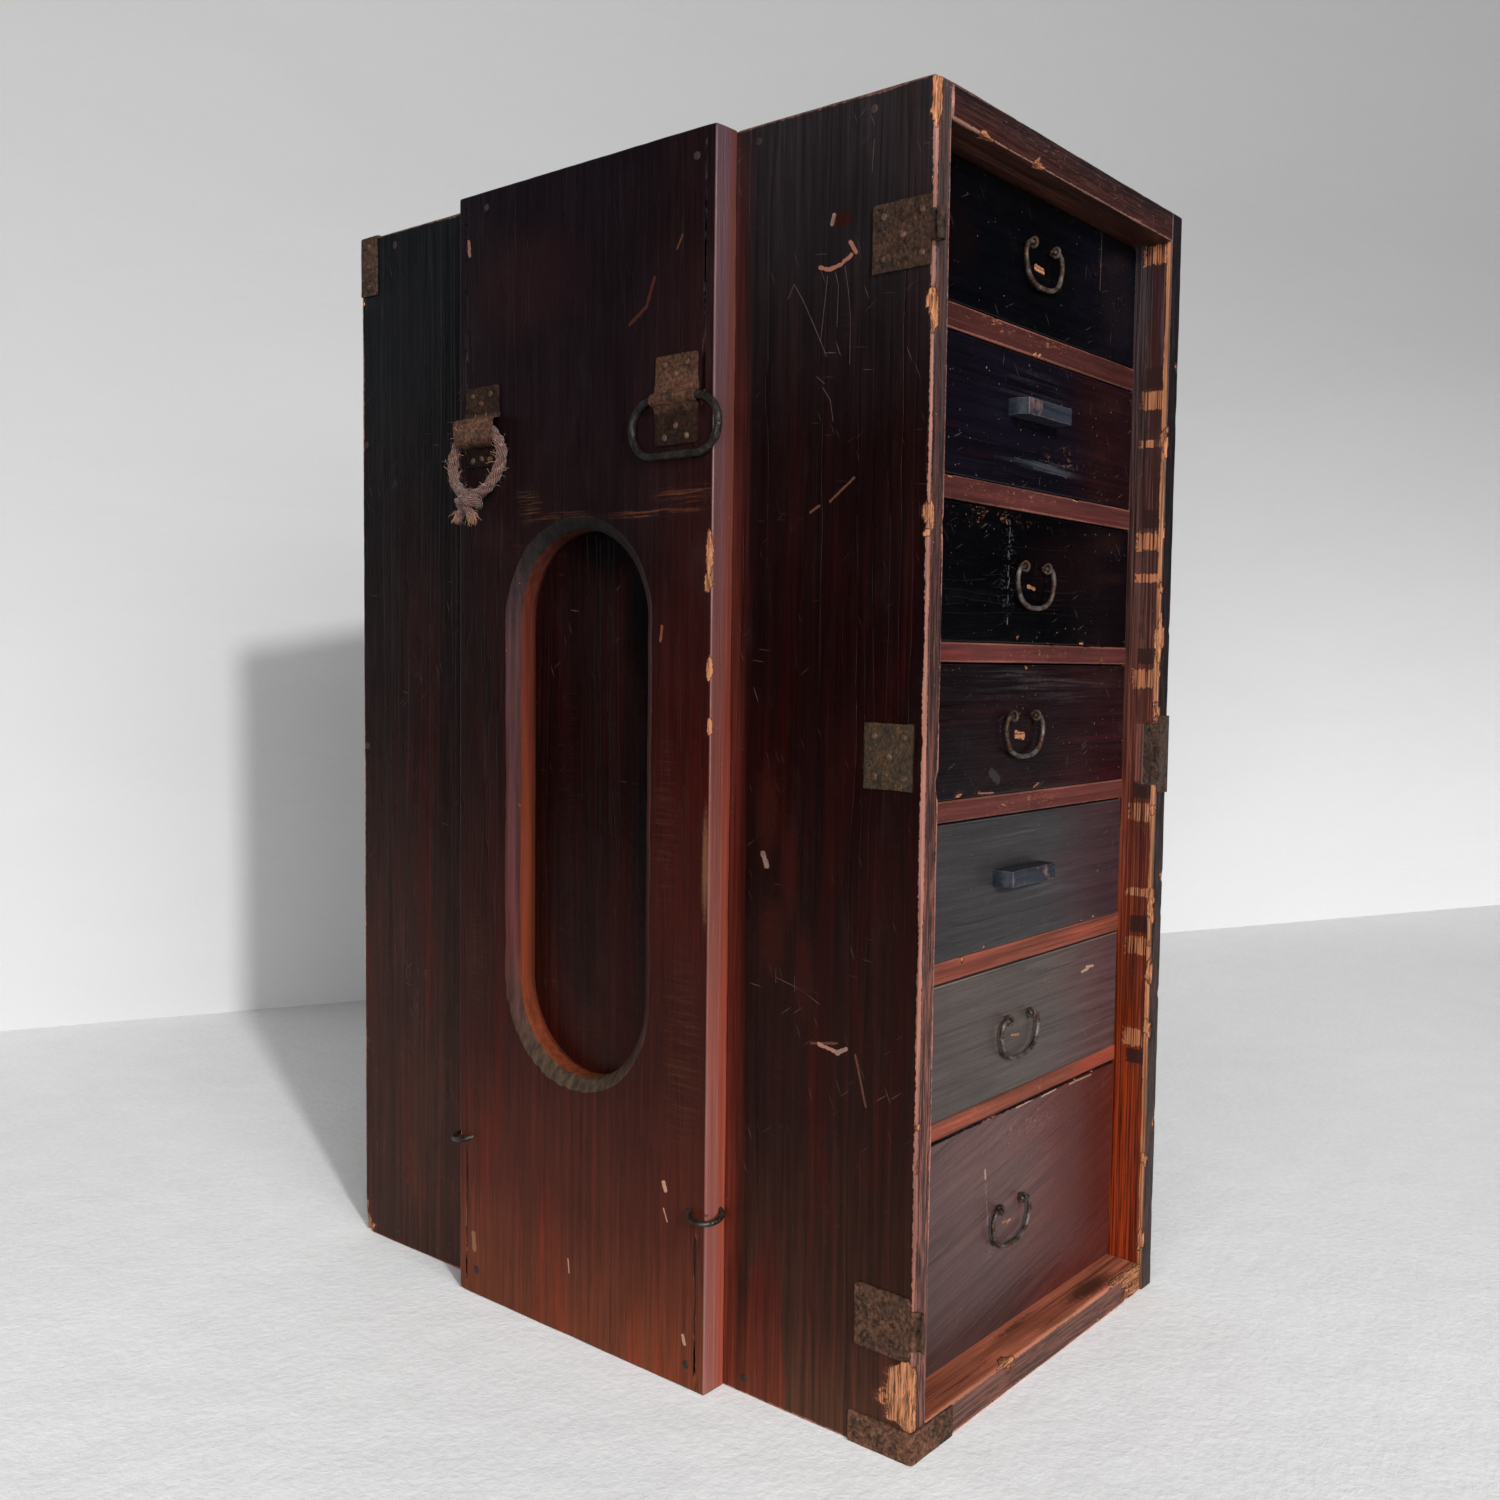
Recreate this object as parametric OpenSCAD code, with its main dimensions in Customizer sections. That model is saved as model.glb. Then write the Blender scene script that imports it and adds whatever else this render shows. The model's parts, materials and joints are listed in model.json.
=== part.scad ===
// Portable drawer cabinet: a back-carried peddler's chest with seven drawers in front
// and a carrier plank on its left side. The front faces -Y, the plank faces -X, and the
// origin is the middle of the case's foot. Millimetres.

/* [Case] */
// Width of the case across its front
case_w = 291; // [250:1:340]
// Depth of the case from its front edge to its back face
case_d = 468; // [400:1:540]
// Thickness of the two side boards
side_t = 14; // [12:0.5:20]
// Thickness of the top board
top_t = 18; // [14:0.5:26]
// Thickness of the bottom board
bottom_t = 18; // [18:0.5:26]
// Thickness of the back panel
back_t = 9; // [7:0.5:14]
// Mean height of the six upper drawer openings
opening_h = 76.5; // [70:0.5:100]
// Height of the bottom drawer opening
tall_opening_h = 133; // [110:1:180]
// Distance from the case's front edge back to the drawer fronts
front_recess = 24; // [18:0.5:34]

/* [Rails and runners] */
// Mean thickness of the front rails and the runners behind them
rail_t = 12; // [10:0.5:16]
// Depth of a front rail from front to back
rail_d = 32; // [20:1:60]
// How far a runner stands out of the side board
runner_w = 12; // [8:0.5:20]
// How deep the rails and runners are let into the side boards
housing = 4; // [2:0.5:6]

/* [Drawers] */
// Thickness of a drawer front
front_t = 14; // [12:0.5:20]
// Thickness of a drawer's side boards
drawer_side_t = 8; // [6:0.5:12]
// Thickness of a drawer's back board
drawer_back_t = 8; // [6:0.5:12]
// Thickness of a drawer's bottom board
drawer_bottom_t = 6; // [4:0.5:9]
// How deep the sides and the bottom are let into the drawer front
lap = 8; // [5:0.5:10]
// How much lower the drawer sides are than the drawer front
side_drop = 3; // [1:0.5:8]
// Gap between a drawer and the side boards, each side
side_clear = 0.6; // [0.3:0.1:1.5]
// Gap above a drawer front
top_clear = 1; // [0.5:0.1:3]
// Running gap under a drawer
slide_clear = 0.2; // [0.1:0.05:0.5]
// Gap between a closed drawer and the back panel
back_clear = 0.5; // [0.3:0.1:2]

/* [Ring pulls] */
// Width of a ring pull
pull_w = 46; // [40:0.5:52]
// Distance from a ring pull's hinge line down to its lower edge
pull_drop = 25; // [20:0.5:27]
// Thickness of a ring pull's rod
pull_rod = 2.8; // [2:0.1:3.4]
// Outer radius of the bend at each end of a ring pull
pull_bend = 7.4; // [6:0.1:9]
// Thickness of a ring pull's end pins
pull_pin = 2.4; // [1.8:0.1:2.8]
// Thickness of the wire of the eyes that hold a ring pull
eye_wire = 1.8; // [1.4:0.1:2.2]
// Running gap round a ring pull's end pin
pin_clear = 0.08; // [0.03:0.01:0.1]
// Length of the eyes' clenched tails inside the drawer
tail_len = 7; // [4:0.5:10]

/* [Block pulls] */
// Width of a wooden block pull
block_w = 55; // [45:1:80]
// Height of a wooden block pull
block_h = 9.6; // [8:0.1:14]
// How far a block pull stands out of its drawer front
block_out = 12.3; // [9:0.1:18]
// How deep a block pull's tenon goes into the drawer front
tenon_in = 5; // [3:0.5:8]

/* [Carrier plank] */
// Width of the plank, along the depth of the case
plank_w = 214; // [190:1:250]
// Thickness of the plank
plank_t = 17.4; // [14:0.2:24]
// Width of the long round-ended hole
hole_w = 108; // [90:1:140]
// Height of the long round-ended hole
hole_h = 328; // [260:1:360]
// Height of the hole's lower end above the foot
hole_z = 161.5; // [140:0.5:170]
// Width of the bevel round the hole
rim_w = 7.6; // [3:0.2:12]
// Depth of the bevel round the hole
rim_d = 5.1; // [2:0.1:9]
// Diameter of the wooden pegs
peg_d = 5.2; // [4:0.2:6]

/* [Carrying ring and rope] */
// Height of the ring's and the rope's hinge line above the foot
hang_z = 557; // [550:1:565]
// Distance of the ring strap's middle from the plank's front edge
ring_strap_in = 27; // [23:1:42]
// Distance of the rope strap's middle from the plank's back edge
rope_strap_in = 23; // [21:1:42]
// Width of the two iron straps
strap_w = 33; // [26:0.5:33]
// Length of a strap's flat above the hinge line
strap_up = 24; // [20:0.5:32]
// Length of a strap's flat below the hinge line
strap_down = 25; // [24:0.5:26]
// Thickness of the carrying ring's bar
ring_bar = 4.6; // [3.6:0.1:5.6]
// Width of the carrying ring
ring_w = 69; // [66:0.5:80]
// Height of the carrying ring
ring_h = 35.5; // [35:0.5:42]
// Running gap between the ring's bar and its strap
ring_clear = 0.05; // [0.03:0.01:0.1]
// Diameter of the rope
rope_d = 7; // [5:0.1:7.2]
// Gap between the rope and its strap
rope_clear = 0.4; // [0.3:0.05:0.6]
// Thickness of the wire of the two staples low on the plank
staple_wire = 3.2; // [2.4:0.1:3.6]
// Radius of a staple's bend
staple_r = 9.5; // [8.5:0.1:11]
// How far a staple's middle lies inside the plank's two faces
staple_in = 3.8; // [3.2:0.1:4.4]
// Height of the staples above the foot
staple_z = 103; // [60:1:130]

/* [Iron fittings] */
// Thickness of the sheet iron and brass
iron_t = 1.2; // [0.8:0.1:1.6]
// Width of a hinge leaf or plate, back from the front edge
leaf_w = 36; // [30:0.5:44]
// Height of a hinge leaf or plate
leaf_h = 34; // [32:0.5:40]
// Distance of the middle plate from the front edge
plate_back = 5; // [3:0.5:10]
// Height of the upper hinge leaf's middle above the foot
upper_leaf_z = 625.5; // [600:0.5:650]
// Height of the middle plate's middle above the foot
middle_plate_z = 365.5; // [340:0.5:400]
// Height of the lower hinge leaf's middle above the foot
lower_leaf_z = 71; // [60:0.5:100]
// Outer diameter of the hinge knuckle
knuckle_d = 6; // [5:0.1:7]
// Height of the upper leaf's knuckle
knuckle_h = 15.5; // [12:0.5:17]
// Height of the lower leaf's torn knuckle
torn_h = 21; // [15:0.5:24]
// Diameter of the hinge pin
hinge_pin_d = 2.8; // [2.2:0.1:3]
// Height of the strike plate on the right side board
strike_h = 50; // [40:0.5:60]
// Width of the strike plate's leg on the inner face
strike_in = 10; // [8:0.5:14]
// Height of the strike plate's middle above the foot
strike_z = 356; // [330:0.5:380]
// Depth that the strike plate's leg is sunk below the inner face, clear of the drawers
strike_sink = 0.5; // [0.5:0.1:1.2]
// Height of the latch slot in the strike plate
slot_h = 10; // [6:0.5:14]
// Width of the latch slot in the strike plate
slot_w = 2.6; // [2:0.1:3.2]
// Depth of the mortise behind the latch slot
slot_deep = 6; // [3:0.5:9]
// Length of each leg of a corner bracket
bracket_leg = 39; // [32:0.5:46]
// Width of a corner bracket
bracket_w = 17; // [15:0.5:17.5]
// Diameter of the nails
nail_d = 1.6; // [1.2:0.1:2]
// Diameter of the nail heads
nail_head_d = 4; // [3.2:0.1:4.6]
// Length of the nails under their heads
nail_len = 10; // [7:0.5:11]

/* [Hidden] */
$fn = 48;
over = 1;                 // how far a cut runs past a face
joint_gap = 0.05;         // gap between boards that share a node
nail_fit = 0.02;          // gap round a nail or peg
nail_head_h = 0.8;
nail_margin = 6.5;        // from a plate's edges to its nails
fingers = 3;              // fingers in each back corner of a drawer
upper_drawers = 6;
staple_leg = 32;          // degrees of bend driven into the plank on each side
staple_droop = 14;        // degrees that a staple sags outside the plank
pin_head = 0.8;           // height of the hinge pin's head
torn_open = 150;          // degrees torn out of the lower knuckle
weld = 0.1;               // how much thicker one of two parts of a rod is where they meet
weld_in = 0.3;            // how far the thicker part runs on into the other
peg_in = 10;              // how far a plank peg goes into the side board
case_peg_len = 30;
foot_gap = 0.3;           // from the foot up to the front corner bracket
bracket_back = 1;         // from the back edge to the back corner bracket

// The case is hand made. From the top down: how far each opening and the rail under it
// differ from the mean, each pull's place right of the middle as a share of the case's
// width, and its height as a share of the drawer front's.
opening_off = [0.5, 0, 0, -1, 0, 0.5];
rail_off = [2, 1, -1, 0, 0, -2];
pull_right = [0.012, -0.002, 0.01, -0.022, -0.022, -0.012, -0.029];
pull_up = [0.631, 0.582, 0.591, 0.603, 0.539, 0.584, 0.573];

// The plank's pegs, from its middle and from the foot
plank_pegs = [[-93, 685], [81, 690], [90, 17], [-93, 14]];
ring_drawers = [1, 3, 4, 6, 7];
block_drawers = [2, 5];

// The rope's route: along the plank towards the back, up from the hinge line, and
// out from the plank's face. It starts and ends under the strap.
rope_route = [
    [0.5, 0, 3.9], [6.5, -1, 3.9], [12, -3.5, 3.9], [16.5, -7.5, 4],
    [20.5, -12.5, 4.1], [23, -18, 4.3], [23.5, -24, 4.8], [22, -30, 5.6],
    [18.5, -35, 6.5], [14, -39, 7.4], [8.5, -42, 8.1], [3, -43.5, 8.4],
    [-3, -43.5, 8.4], [-8.5, -41.5, 8.1], [-13.5, -38.5, 7.4], [-17.5, -34, 6.5],
    [-20.5, -28.5, 5.6], [-22.5, -22.5, 4.8], [-22.5, -17, 4.3], [-20.5, -12, 4.1],
    [-16.5, -7.5, 4], [-12, -3.5, 3.9], [-6.5, -1, 3.9], [-0.5, 0, 3.9]
];
rope_sides = 8;
rope_sink = 9.2;          // how much taller the rope's tunnel is than the rope
knot_drop = 44;           // from the hinge line down to the knot's middle
knot_out = 8.6;           // from the plank's face out to the knot's middle
knot_r = 8;               // radius of the knot's turns

x_out = case_w / 2;
x_in = x_out - side_t;
y_front = -case_d / 2;
y_back = case_d / 2;
y_face = y_front + front_recess;
y_panel = y_back - back_t;
case_h = opening_z(1) + opening_height(1) + top_t;
x_plank = -x_out - plank_t;
hang_y_ring = ring_strap_in - plank_w / 2;
hang_y_rope = plank_w / 2 - rope_strap_in;

drawer_w = 2 * (x_in - side_clear);
drawer_end = y_panel - back_clear;
box_start = y_face + front_t - lap;

pull_out = eye_wire + pull_pin / 2 + pin_clear + 0.3;   // hinge line in front of the wood
bend_r = pull_bend - pull_rod / 2;
bend_x = pull_w / 2 - pull_bend;
line_drop = pull_drop - pull_rod / 2;
belly_r = (pow(bend_x, 2) + pow(line_drop - bend_r, 2) - pow(bend_r, 2))
    / (2 * (line_drop - 2 * bend_r));
belly_z = belly_r - line_drop;
belly_angle = atan2(-bend_r - belly_z, bend_x);
pin_reach = 4.6;          // length of a ring pull's end pin
eye_x = bend_x - pin_reach / 2;
eye_r = pull_pin / 2 + pin_clear + eye_wire / 2;
stem_d = 2.4;
tail_d = 1.4;

ring_in = (ring_bar + weld) / 2 + ring_clear;
ring_r = ring_h / 2 - ring_bar / 2;
ring_straight = ring_w - ring_h;
rope_in = rope_d / 2 + rope_clear;

knuckle_x = -x_out;
knuckle_y = y_front - knuckle_d / 2 - joint_gap;
knuckle_z = upper_leaf_z + 2;

// Heights of drawer opening n, counted from the top
function is_tall(n) = n == upper_drawers + 1;
function opening_height(n) = is_tall(n) ? tall_opening_h : opening_h + opening_off[n - 1];
function rail_height(n) = rail_t + rail_off[n - 1];
function opening_z(n) = is_tall(n) ? bottom_t
    : opening_z(n + 1) + opening_height(n + 1) + rail_height(n);
function drawer_z(n) = opening_z(n) + slide_clear;
function drawer_height(n) = opening_height(n) - slide_clear - top_clear;
function box_height(n) = drawer_height(n) - drawer_bottom_t - side_drop;
function pull_x(n) = case_w * pull_right[n - 1];
function pull_z(n) = drawer_z(n) + drawer_height(n) * pull_up[n - 1];

// Nail places. Each is a list of [y, z] on a face that looks along -X.
function five(y, z, w, h) = [for (p = [[0, 0], [1, 0], [0.5, 0.5], [0, 1], [1, 1]])
    [y + nail_margin + p[0] * (w - 2 * nail_margin),
     z + nail_margin + p[1] * (h - 2 * nail_margin)]];
function strap_nails(y, r_in, drop) = [
    [y - strap_w / 4, hang_z + strap_up - 5],
    [y + strap_w / 4, hang_z + strap_up - 5],
    [y, hang_z + (strap_up + r_in) / 2],
    [y - strap_w / 4, hang_z - strap_down + 4],
    [y + strap_w / 4, hang_z - strap_down + 4],
    [y, hang_z - (strap_down + drop + r_in) / 2 - 1]
];
leaf_nails = concat(five(y_front, upper_leaf_z - leaf_h / 2, leaf_w, leaf_h),
    five(y_front + plate_back, middle_plate_z - leaf_h / 2, leaf_w - plate_back, leaf_h),
    five(y_front, lower_leaf_z - leaf_h / 2, leaf_w, leaf_h));
front_bracket_nails = [
    [y_front + bracket_leg - 5, foot_gap + bracket_w * 0.27],
    [y_front + bracket_leg - 6, foot_gap + bracket_w * 0.75],
    [y_front + bracket_leg * 0.45, foot_gap + bracket_w / 2]
];
front_leg_nails = [
    [-x_out + bracket_leg - 5, foot_gap + bracket_w / 2],
    [-x_out + bracket_leg * 0.45, foot_gap + bracket_w * 0.6]
];
back_bracket_nails = [for (part = [0.15, 0.5, 0.85])
    [y_back - bracket_back - bracket_w / 2, case_h - bracket_leg * part]];
top_leg_nails = [for (part = [0.3, 0.8])
    [-x_out + bracket_leg * part, y_back - bracket_back - bracket_w / 2]];
strike_nails = [for (side = [-1, 1])
    [y_front + strike_in * 0.45, strike_z + side * (strike_h / 2 - 9)]];
ring_strap_nails = strap_nails(hang_y_ring, ring_in, 0);
rope_strap_nails = strap_nails(hang_y_rope, rope_in, rope_sink);

// A nail with its head's seat at the origin and its head towards -X
module nail() {
    rotate([0, 90, 0]) cylinder(h = nail_len, d = nail_d, $fn = 16);
    rotate([0, -90, 0]) cylinder(h = nail_head_h, d1 = nail_head_d, d2 = nail_head_d * 0.55, $fn = 20);
}

// The hole that a nail makes in wood, or in sheet metal
module nail_hole() {
    translate([-over, 0, 0]) rotate([0, 90, 0])
        cylinder(h = nail_len + over + nail_fit, d = nail_d + 2 * nail_fit, $fn = 16);
}

// Children at each [y, z] place on the plane x
module at_side(x, places) {
    for (p = places) translate([x, p[0], p[1]]) children();
}

// Children at each [x, z] place on the plane y, turned to look along -Y
module at_front(y, places) {
    for (p = places) translate([p[0], y, p[1]]) rotate([0, 0, 90]) children();
}

// Children at each [x, y] place on the plane z, turned to look up
module at_top(z, places) {
    for (p = places) translate([p[0], p[1], z]) rotate([0, 90, 0]) children();
}

// Every nail, or every nail's hole: the children stand for one
module every_nail() {
    at_side(-x_out - iron_t, concat(leaf_nails, front_bracket_nails, back_bracket_nails)) children();
    at_side(x_plank - iron_t, concat(ring_strap_nails, rope_strap_nails)) children();
    at_side(x_in + strike_sink, strike_nails) children();
    at_front(y_front - iron_t, front_leg_nails) children();
    at_top(case_h + iron_t, top_leg_nails) children();
}

// One peg along X from x to x + len
module peg(x, y, z, len, extra) {
    translate([x - extra, y, z]) rotate([0, 90, 0])
        cylinder(h = len + 2 * extra, d = peg_d + 2 * extra, $fn = 24);
}

// Every wooden peg; extra is the gap for the holes that they sit in
module every_peg(extra) {
    for (p = plank_pegs) peg(x_plank, p[0], p[1], plank_t + peg_in, extra);
    for (part = [-0.42, -0.26, 0.26, 0.42], z = [bottom_t / 2, case_h - top_t / 2]) {
        peg(-x_out, case_d * part, z, case_peg_len, extra);
        peg(x_out - case_peg_len, case_d * part, z, case_peg_len, extra);
    }
    for (part = [0.2, 0.5, 0.8]) {
        peg(-x_out, y_panel + back_t / 2, case_h * part, case_peg_len, extra);
        peg(x_out - case_peg_len, y_panel + back_t / 2, case_h * part, case_peg_len, extra);
    }
}

// The grooves for rails and runners in the left side board
module rail_grooves() {
    for (n = [1 : upper_drawers])
        translate([-x_in - housing, y_face, opening_z(n) - rail_height(n)])
            cube([housing + over, y_panel - y_face, rail_height(n)]);
}

module left_side() {
    color("#3b1a12") difference() {
        translate([-x_out, y_front, 0]) cube([side_t, case_d, case_h]);
        rail_grooves();
        every_peg(nail_fit);
        every_nail() nail_hole();
    }
}

module right_side() {
    color("#5a2a18") difference() {
        translate([x_in, y_front, 0]) cube([side_t, case_d, case_h]);
        mirror([1, 0, 0]) rail_grooves();
        every_peg(nail_fit);
        every_nail() nail_hole();
        translate([x_in - over, y_front - over, strike_z - strike_h * 0.39])
            cube([strike_sink + iron_t + over, strike_in + over, strike_h * 0.78]);
        translate([x_in - over, y_front + iron_t, strike_z - slot_h / 2])
            cube([slot_deep + over, slot_w, slot_h]);
    }
}

// A board between the side boards, from the front edge to the back panel
module cross_board(z, t) {
    difference() {
        translate([-x_in, y_front, z]) cube([2 * x_in, case_d - back_t, t]);
        every_peg(nail_fit);
        every_nail() nail_hole();
    }
}

module top_board() {
    color("#1c1416") cross_board(case_h - top_t, top_t);
}

module bottom_board() {
    color("#6b351f") cross_board(0, bottom_t);
}

module back_panel() {
    color("#2e1812") difference() {
        translate([-x_in, y_panel, 0]) cube([2 * x_in, back_t, case_h]);
        every_peg(nail_fit);
        every_nail() nail_hole();
    }
}

// A round-ended prism along X, from x over length h, whose half width grows from r1 to r2
module round_ended(x, h, r1, r2) {
    z_low = hole_z + hole_w / 2;
    z_high = hole_z + hole_h - hole_w / 2;
    for (z = [z_low, z_high])
        translate([x, 0, z]) rotate([0, 90, 0]) cylinder(h = h, r1 = r1, r2 = r2, $fn = 96);
    translate([x, 0, z_low]) linear_extrude(height = z_high - z_low)
        polygon([[0, -r1], [h, -r2], [h, r2], [0, r1]]);
}

module carrier_plank() {
    color("#4a2016") difference() {
        translate([x_plank, -plank_w / 2, 0]) cube([plank_t, plank_w, case_h]);
        round_ended(x_plank - over, plank_t + 2 * over, hole_w / 2, hole_w / 2);
        round_ended(x_plank - over, rim_d + over,
            hole_w / 2 + rim_w * (1 + over / rim_d), hole_w / 2);
        for (side = [-1, 1]) staple(side, nail_fit);
        every_peg(nail_fit);
        every_nail() nail_hole();
    }
}

module front_rail(n) {
    color("#7a3524") translate([-x_in - housing, y_face, opening_z(n) - rail_height(n)])
        cube([2 * (x_in + housing), rail_d, rail_height(n)]);
}

module drawer_runners() {
    color("#6a3a22") for (n = [1 : upper_drawers], side = [0, 1]) mirror([side, 0, 0])
        translate([-x_in - housing, y_face + rail_d, opening_z(n) - rail_height(n)])
            cube([housing + runner_w, y_panel - y_face - rail_d, rail_height(n)]);
}

module wood_pegs() {
    color("#5c3420") every_peg(0);
}

module iron_nails() {
    color("#2c211d") every_nail() nail();
}

// A flat plate on the left side board, from y and z, with its nail holes
module side_plate(y, z, w, h) {
    difference() {
        translate([-x_out - iron_t, y, z]) cube([iron_t, w, h]);
        every_nail() nail_hole();
    }
}

// The sheet of a hinge leaf where it runs on into its knuckle, and the rolled tube
module knuckle(z, h) {
    difference() {
        union() {
            translate([-x_out - iron_t, knuckle_y, z - h / 2]) cube([iron_t, knuckle_d / 2 + over, h]);
            translate([knuckle_x, knuckle_y, z - h / 2]) cylinder(h = h, d = knuckle_d);
        }
        translate([knuckle_x, knuckle_y, z - h / 2 - over])
            cylinder(h = h + 2 * over, d = hinge_pin_d + 4 * joint_gap);
    }
}

module upper_hinge_leaf() {
    color("#5a3a2a") {
        side_plate(y_front, upper_leaf_z - leaf_h / 2, leaf_w, leaf_h);
        knuckle(knuckle_z, knuckle_h);
        translate([knuckle_x, knuckle_y, knuckle_z - knuckle_h / 2 - pin_head])
            cylinder(h = knuckle_h + 2 * pin_head, d = hinge_pin_d);
    }
}

module middle_plate() {
    color("#8a6a3a")
        side_plate(y_front + plate_back, middle_plate_z - leaf_h / 2, leaf_w - plate_back, leaf_h);
}

module lower_hinge_leaf() {
    color("#4e352a") {
        side_plate(y_front, lower_leaf_z - leaf_h / 2, leaf_w, leaf_h);
        difference() {
            knuckle(lower_leaf_z, torn_h);
            translate([knuckle_x, knuckle_y, lower_leaf_z - leaf_h / 2])
                rotate_extrude(angle = torn_open, start = -torn_open / 2) square([knuckle_d, leaf_h]);
        }
    }
}

module strike_plate() {
    color("#2a2422") difference() {
        union() {
            translate([x_in + strike_sink, y_front - iron_t, strike_z - strike_h * 0.39])
                cube([iron_t, strike_in + iron_t, strike_h * 0.78]);
            translate([x_in + strike_sink, y_front - iron_t, strike_z - strike_h / 2])
                cube([side_t - strike_sink, iron_t, strike_h]);
        }
        every_nail() nail_hole();
        translate([x_in + strike_sink - over, y_front + iron_t, strike_z - slot_h / 2])
            cube([iron_t + 2 * over, slot_w, slot_h]);
    }
}

module front_corner_bracket() {
    color("#5a3826") difference() {
        translate([-x_out - iron_t, y_front - iron_t, foot_gap])
            cube([bracket_leg + iron_t, bracket_leg + iron_t, bracket_w]);
        translate([-x_out, y_front, foot_gap - over])
            cube([bracket_leg + over, bracket_leg + over, bracket_w + 2 * over]);
        every_nail() nail_hole();
    }
}

module back_corner_bracket() {
    color("#3a2a24") difference() {
        translate([-x_out - iron_t, y_back - bracket_back - bracket_w, case_h - bracket_leg])
            cube([bracket_leg + iron_t, bracket_w, bracket_leg + iron_t]);
        translate([-x_out, y_back - bracket_back - bracket_w - over, case_h - bracket_leg - over])
            cube([bracket_leg + over, bracket_w + 2 * over, bracket_leg + over]);
        every_nail() nail_hole();
    }
}

// The tunnel of a strap in section: half round outside, straight to the plank, drop taller than round
module tunnel_section(r_in, r, drop) {
    for (y = [0, -drop]) translate([-r_in, y]) circle(r = r);
    translate([-r_in, -drop - r]) square([r_in, drop + 2 * r]);
    translate([-r_in - r, -drop]) square([r, max(drop, 0.01)]);
}

// A strap over a bar: nailed flat above and below, raised in a tunnel between
module strap(y, r_in, drop) {
    difference() {
        translate([x_plank, y + strap_w / 2, hang_z]) rotate([90, 0, 0])
            linear_extrude(height = strap_w) difference() {
                union() {
                    translate([-iron_t, -strap_down]) square([iron_t, strap_down + strap_up]);
                    tunnel_section(r_in, r_in + iron_t, drop);
                }
                tunnel_section(r_in, r_in, drop);
                translate([0, -strap_down - over]) square([r_in * 3, strap_down + strap_up + 2 * over]);
            }
        every_nail() nail_hole();
    }
}

module ring_strap() {
    color("#6b4a34") strap(hang_y_ring, ring_in, 0);
}

module rope_strap() {
    color("#5e4636") strap(hang_y_rope, rope_in, rope_sink);
}

// The carrying ring: two straight bars and two half-round ends
module carrying_ring() {
    color("#232022") translate([x_plank - ring_in, hang_y_ring, hang_z - ring_r])
        rotate([90, 0, -90]) {
            for (side = [-1, 1]) {
                translate([side * ring_straight / 2, 0, 0])
                    rotate_extrude(angle = 180, start = side * 90 - 180) translate([ring_r, 0])
                        circle(d = ring_bar);
                translate([-ring_straight / 2 - weld_in, side * ring_r, 0]) rotate([0, 90, 0])
                    cylinder(h = ring_straight + 2 * weld_in, d = ring_bar + weld);
            }
        }
}

// Sweep along the rope's route: rings square to the path, joined by triangles
function unit(v) = v / norm(v);
function route_point(i) = [x_plank - rope_route[i][2], hang_y_rope + rope_route[i][0],
    hang_z + rope_route[i][1]];
function route_way(i) = unit(route_point(min(i + 1, len(rope_route) - 1)) - route_point(max(i - 1, 0)));
function route_ring(i) = let (
        way = route_way(i),
        side = unit(cross(way, [1, 0, 0])),
        out = cross(side, way))
    [for (k = [0 : rope_sides - 1]) route_point(i)
        + rope_d / 2 * (cos(360 * k / rope_sides) * side + sin(360 * k / rope_sides) * out)];

module rope_loop() {
    last = len(rope_route) - 1;
    rings = [for (i = [0 : last]) each route_ring(i)];
    walls = [for (i = [0 : last - 1], k = [0 : rope_sides - 1]) let (
            a = i * rope_sides + k,
            b = i * rope_sides + (k + 1) % rope_sides)
        each [[a, a + rope_sides, b], [b, a + rope_sides, b + rope_sides]]];
    start_cap = [for (k = [1 : rope_sides - 2]) [0, k, k + 1]];
    end_cap = [for (k = [1 : rope_sides - 2])
        [last * rope_sides, last * rope_sides + k + 1, last * rope_sides + k]];
    color("#8a5a48") polyhedron(points = rings, faces = concat(walls, start_cap, end_cap));
}

// The knot that ties the rope into a loop, with its short frayed ends below
module rope_knot() {
    color("#9a6a4e") translate([x_plank - knot_out, hang_y_rope, hang_z - knot_drop]) {
        hull() {
            for (side = [-1, 1]) translate([0, side * knot_r * 0.63, 0]) sphere(r = knot_r, $fn = 16);
            translate([0, 0, -knot_r * 0.38]) sphere(r = knot_r, $fn = 16);
        }
        hull() {
            translate([0, knot_r * 0.38, -knot_r * 0.75]) sphere(r = knot_r * 0.69, $fn = 12);
            translate([0, -knot_r * 0.5, -knot_r * 1.13]) sphere(r = knot_r * 0.5, $fn = 12);
            translate([0, knot_r, -knot_r * 1.25]) sphere(r = knot_r * 0.38, $fn = 12);
        }
    }
}

// One staple round a vertical corner of the plank; side is -1 at the front, 1 at the back.
// extra is the gap round its legs in the plank.
module staple(side, extra) {
    reach = acos(staple_in / staple_r) + 45;
    translate([x_plank + staple_in, side * (plank_w / 2 - staple_in), staple_z])
        rotate([0, 0, side * -45]) rotate([0, -staple_droop, 0])
            rotate_extrude(angle = 2 * (reach + staple_leg), start = 180 - reach - staple_leg)
                translate([staple_r, 0]) circle(d = staple_wire + 2 * extra, $fn = 24);
}

module plank_staples() {
    color("#2a2628") for (side = [-1, 1]) staple(side, 0);
}

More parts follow.
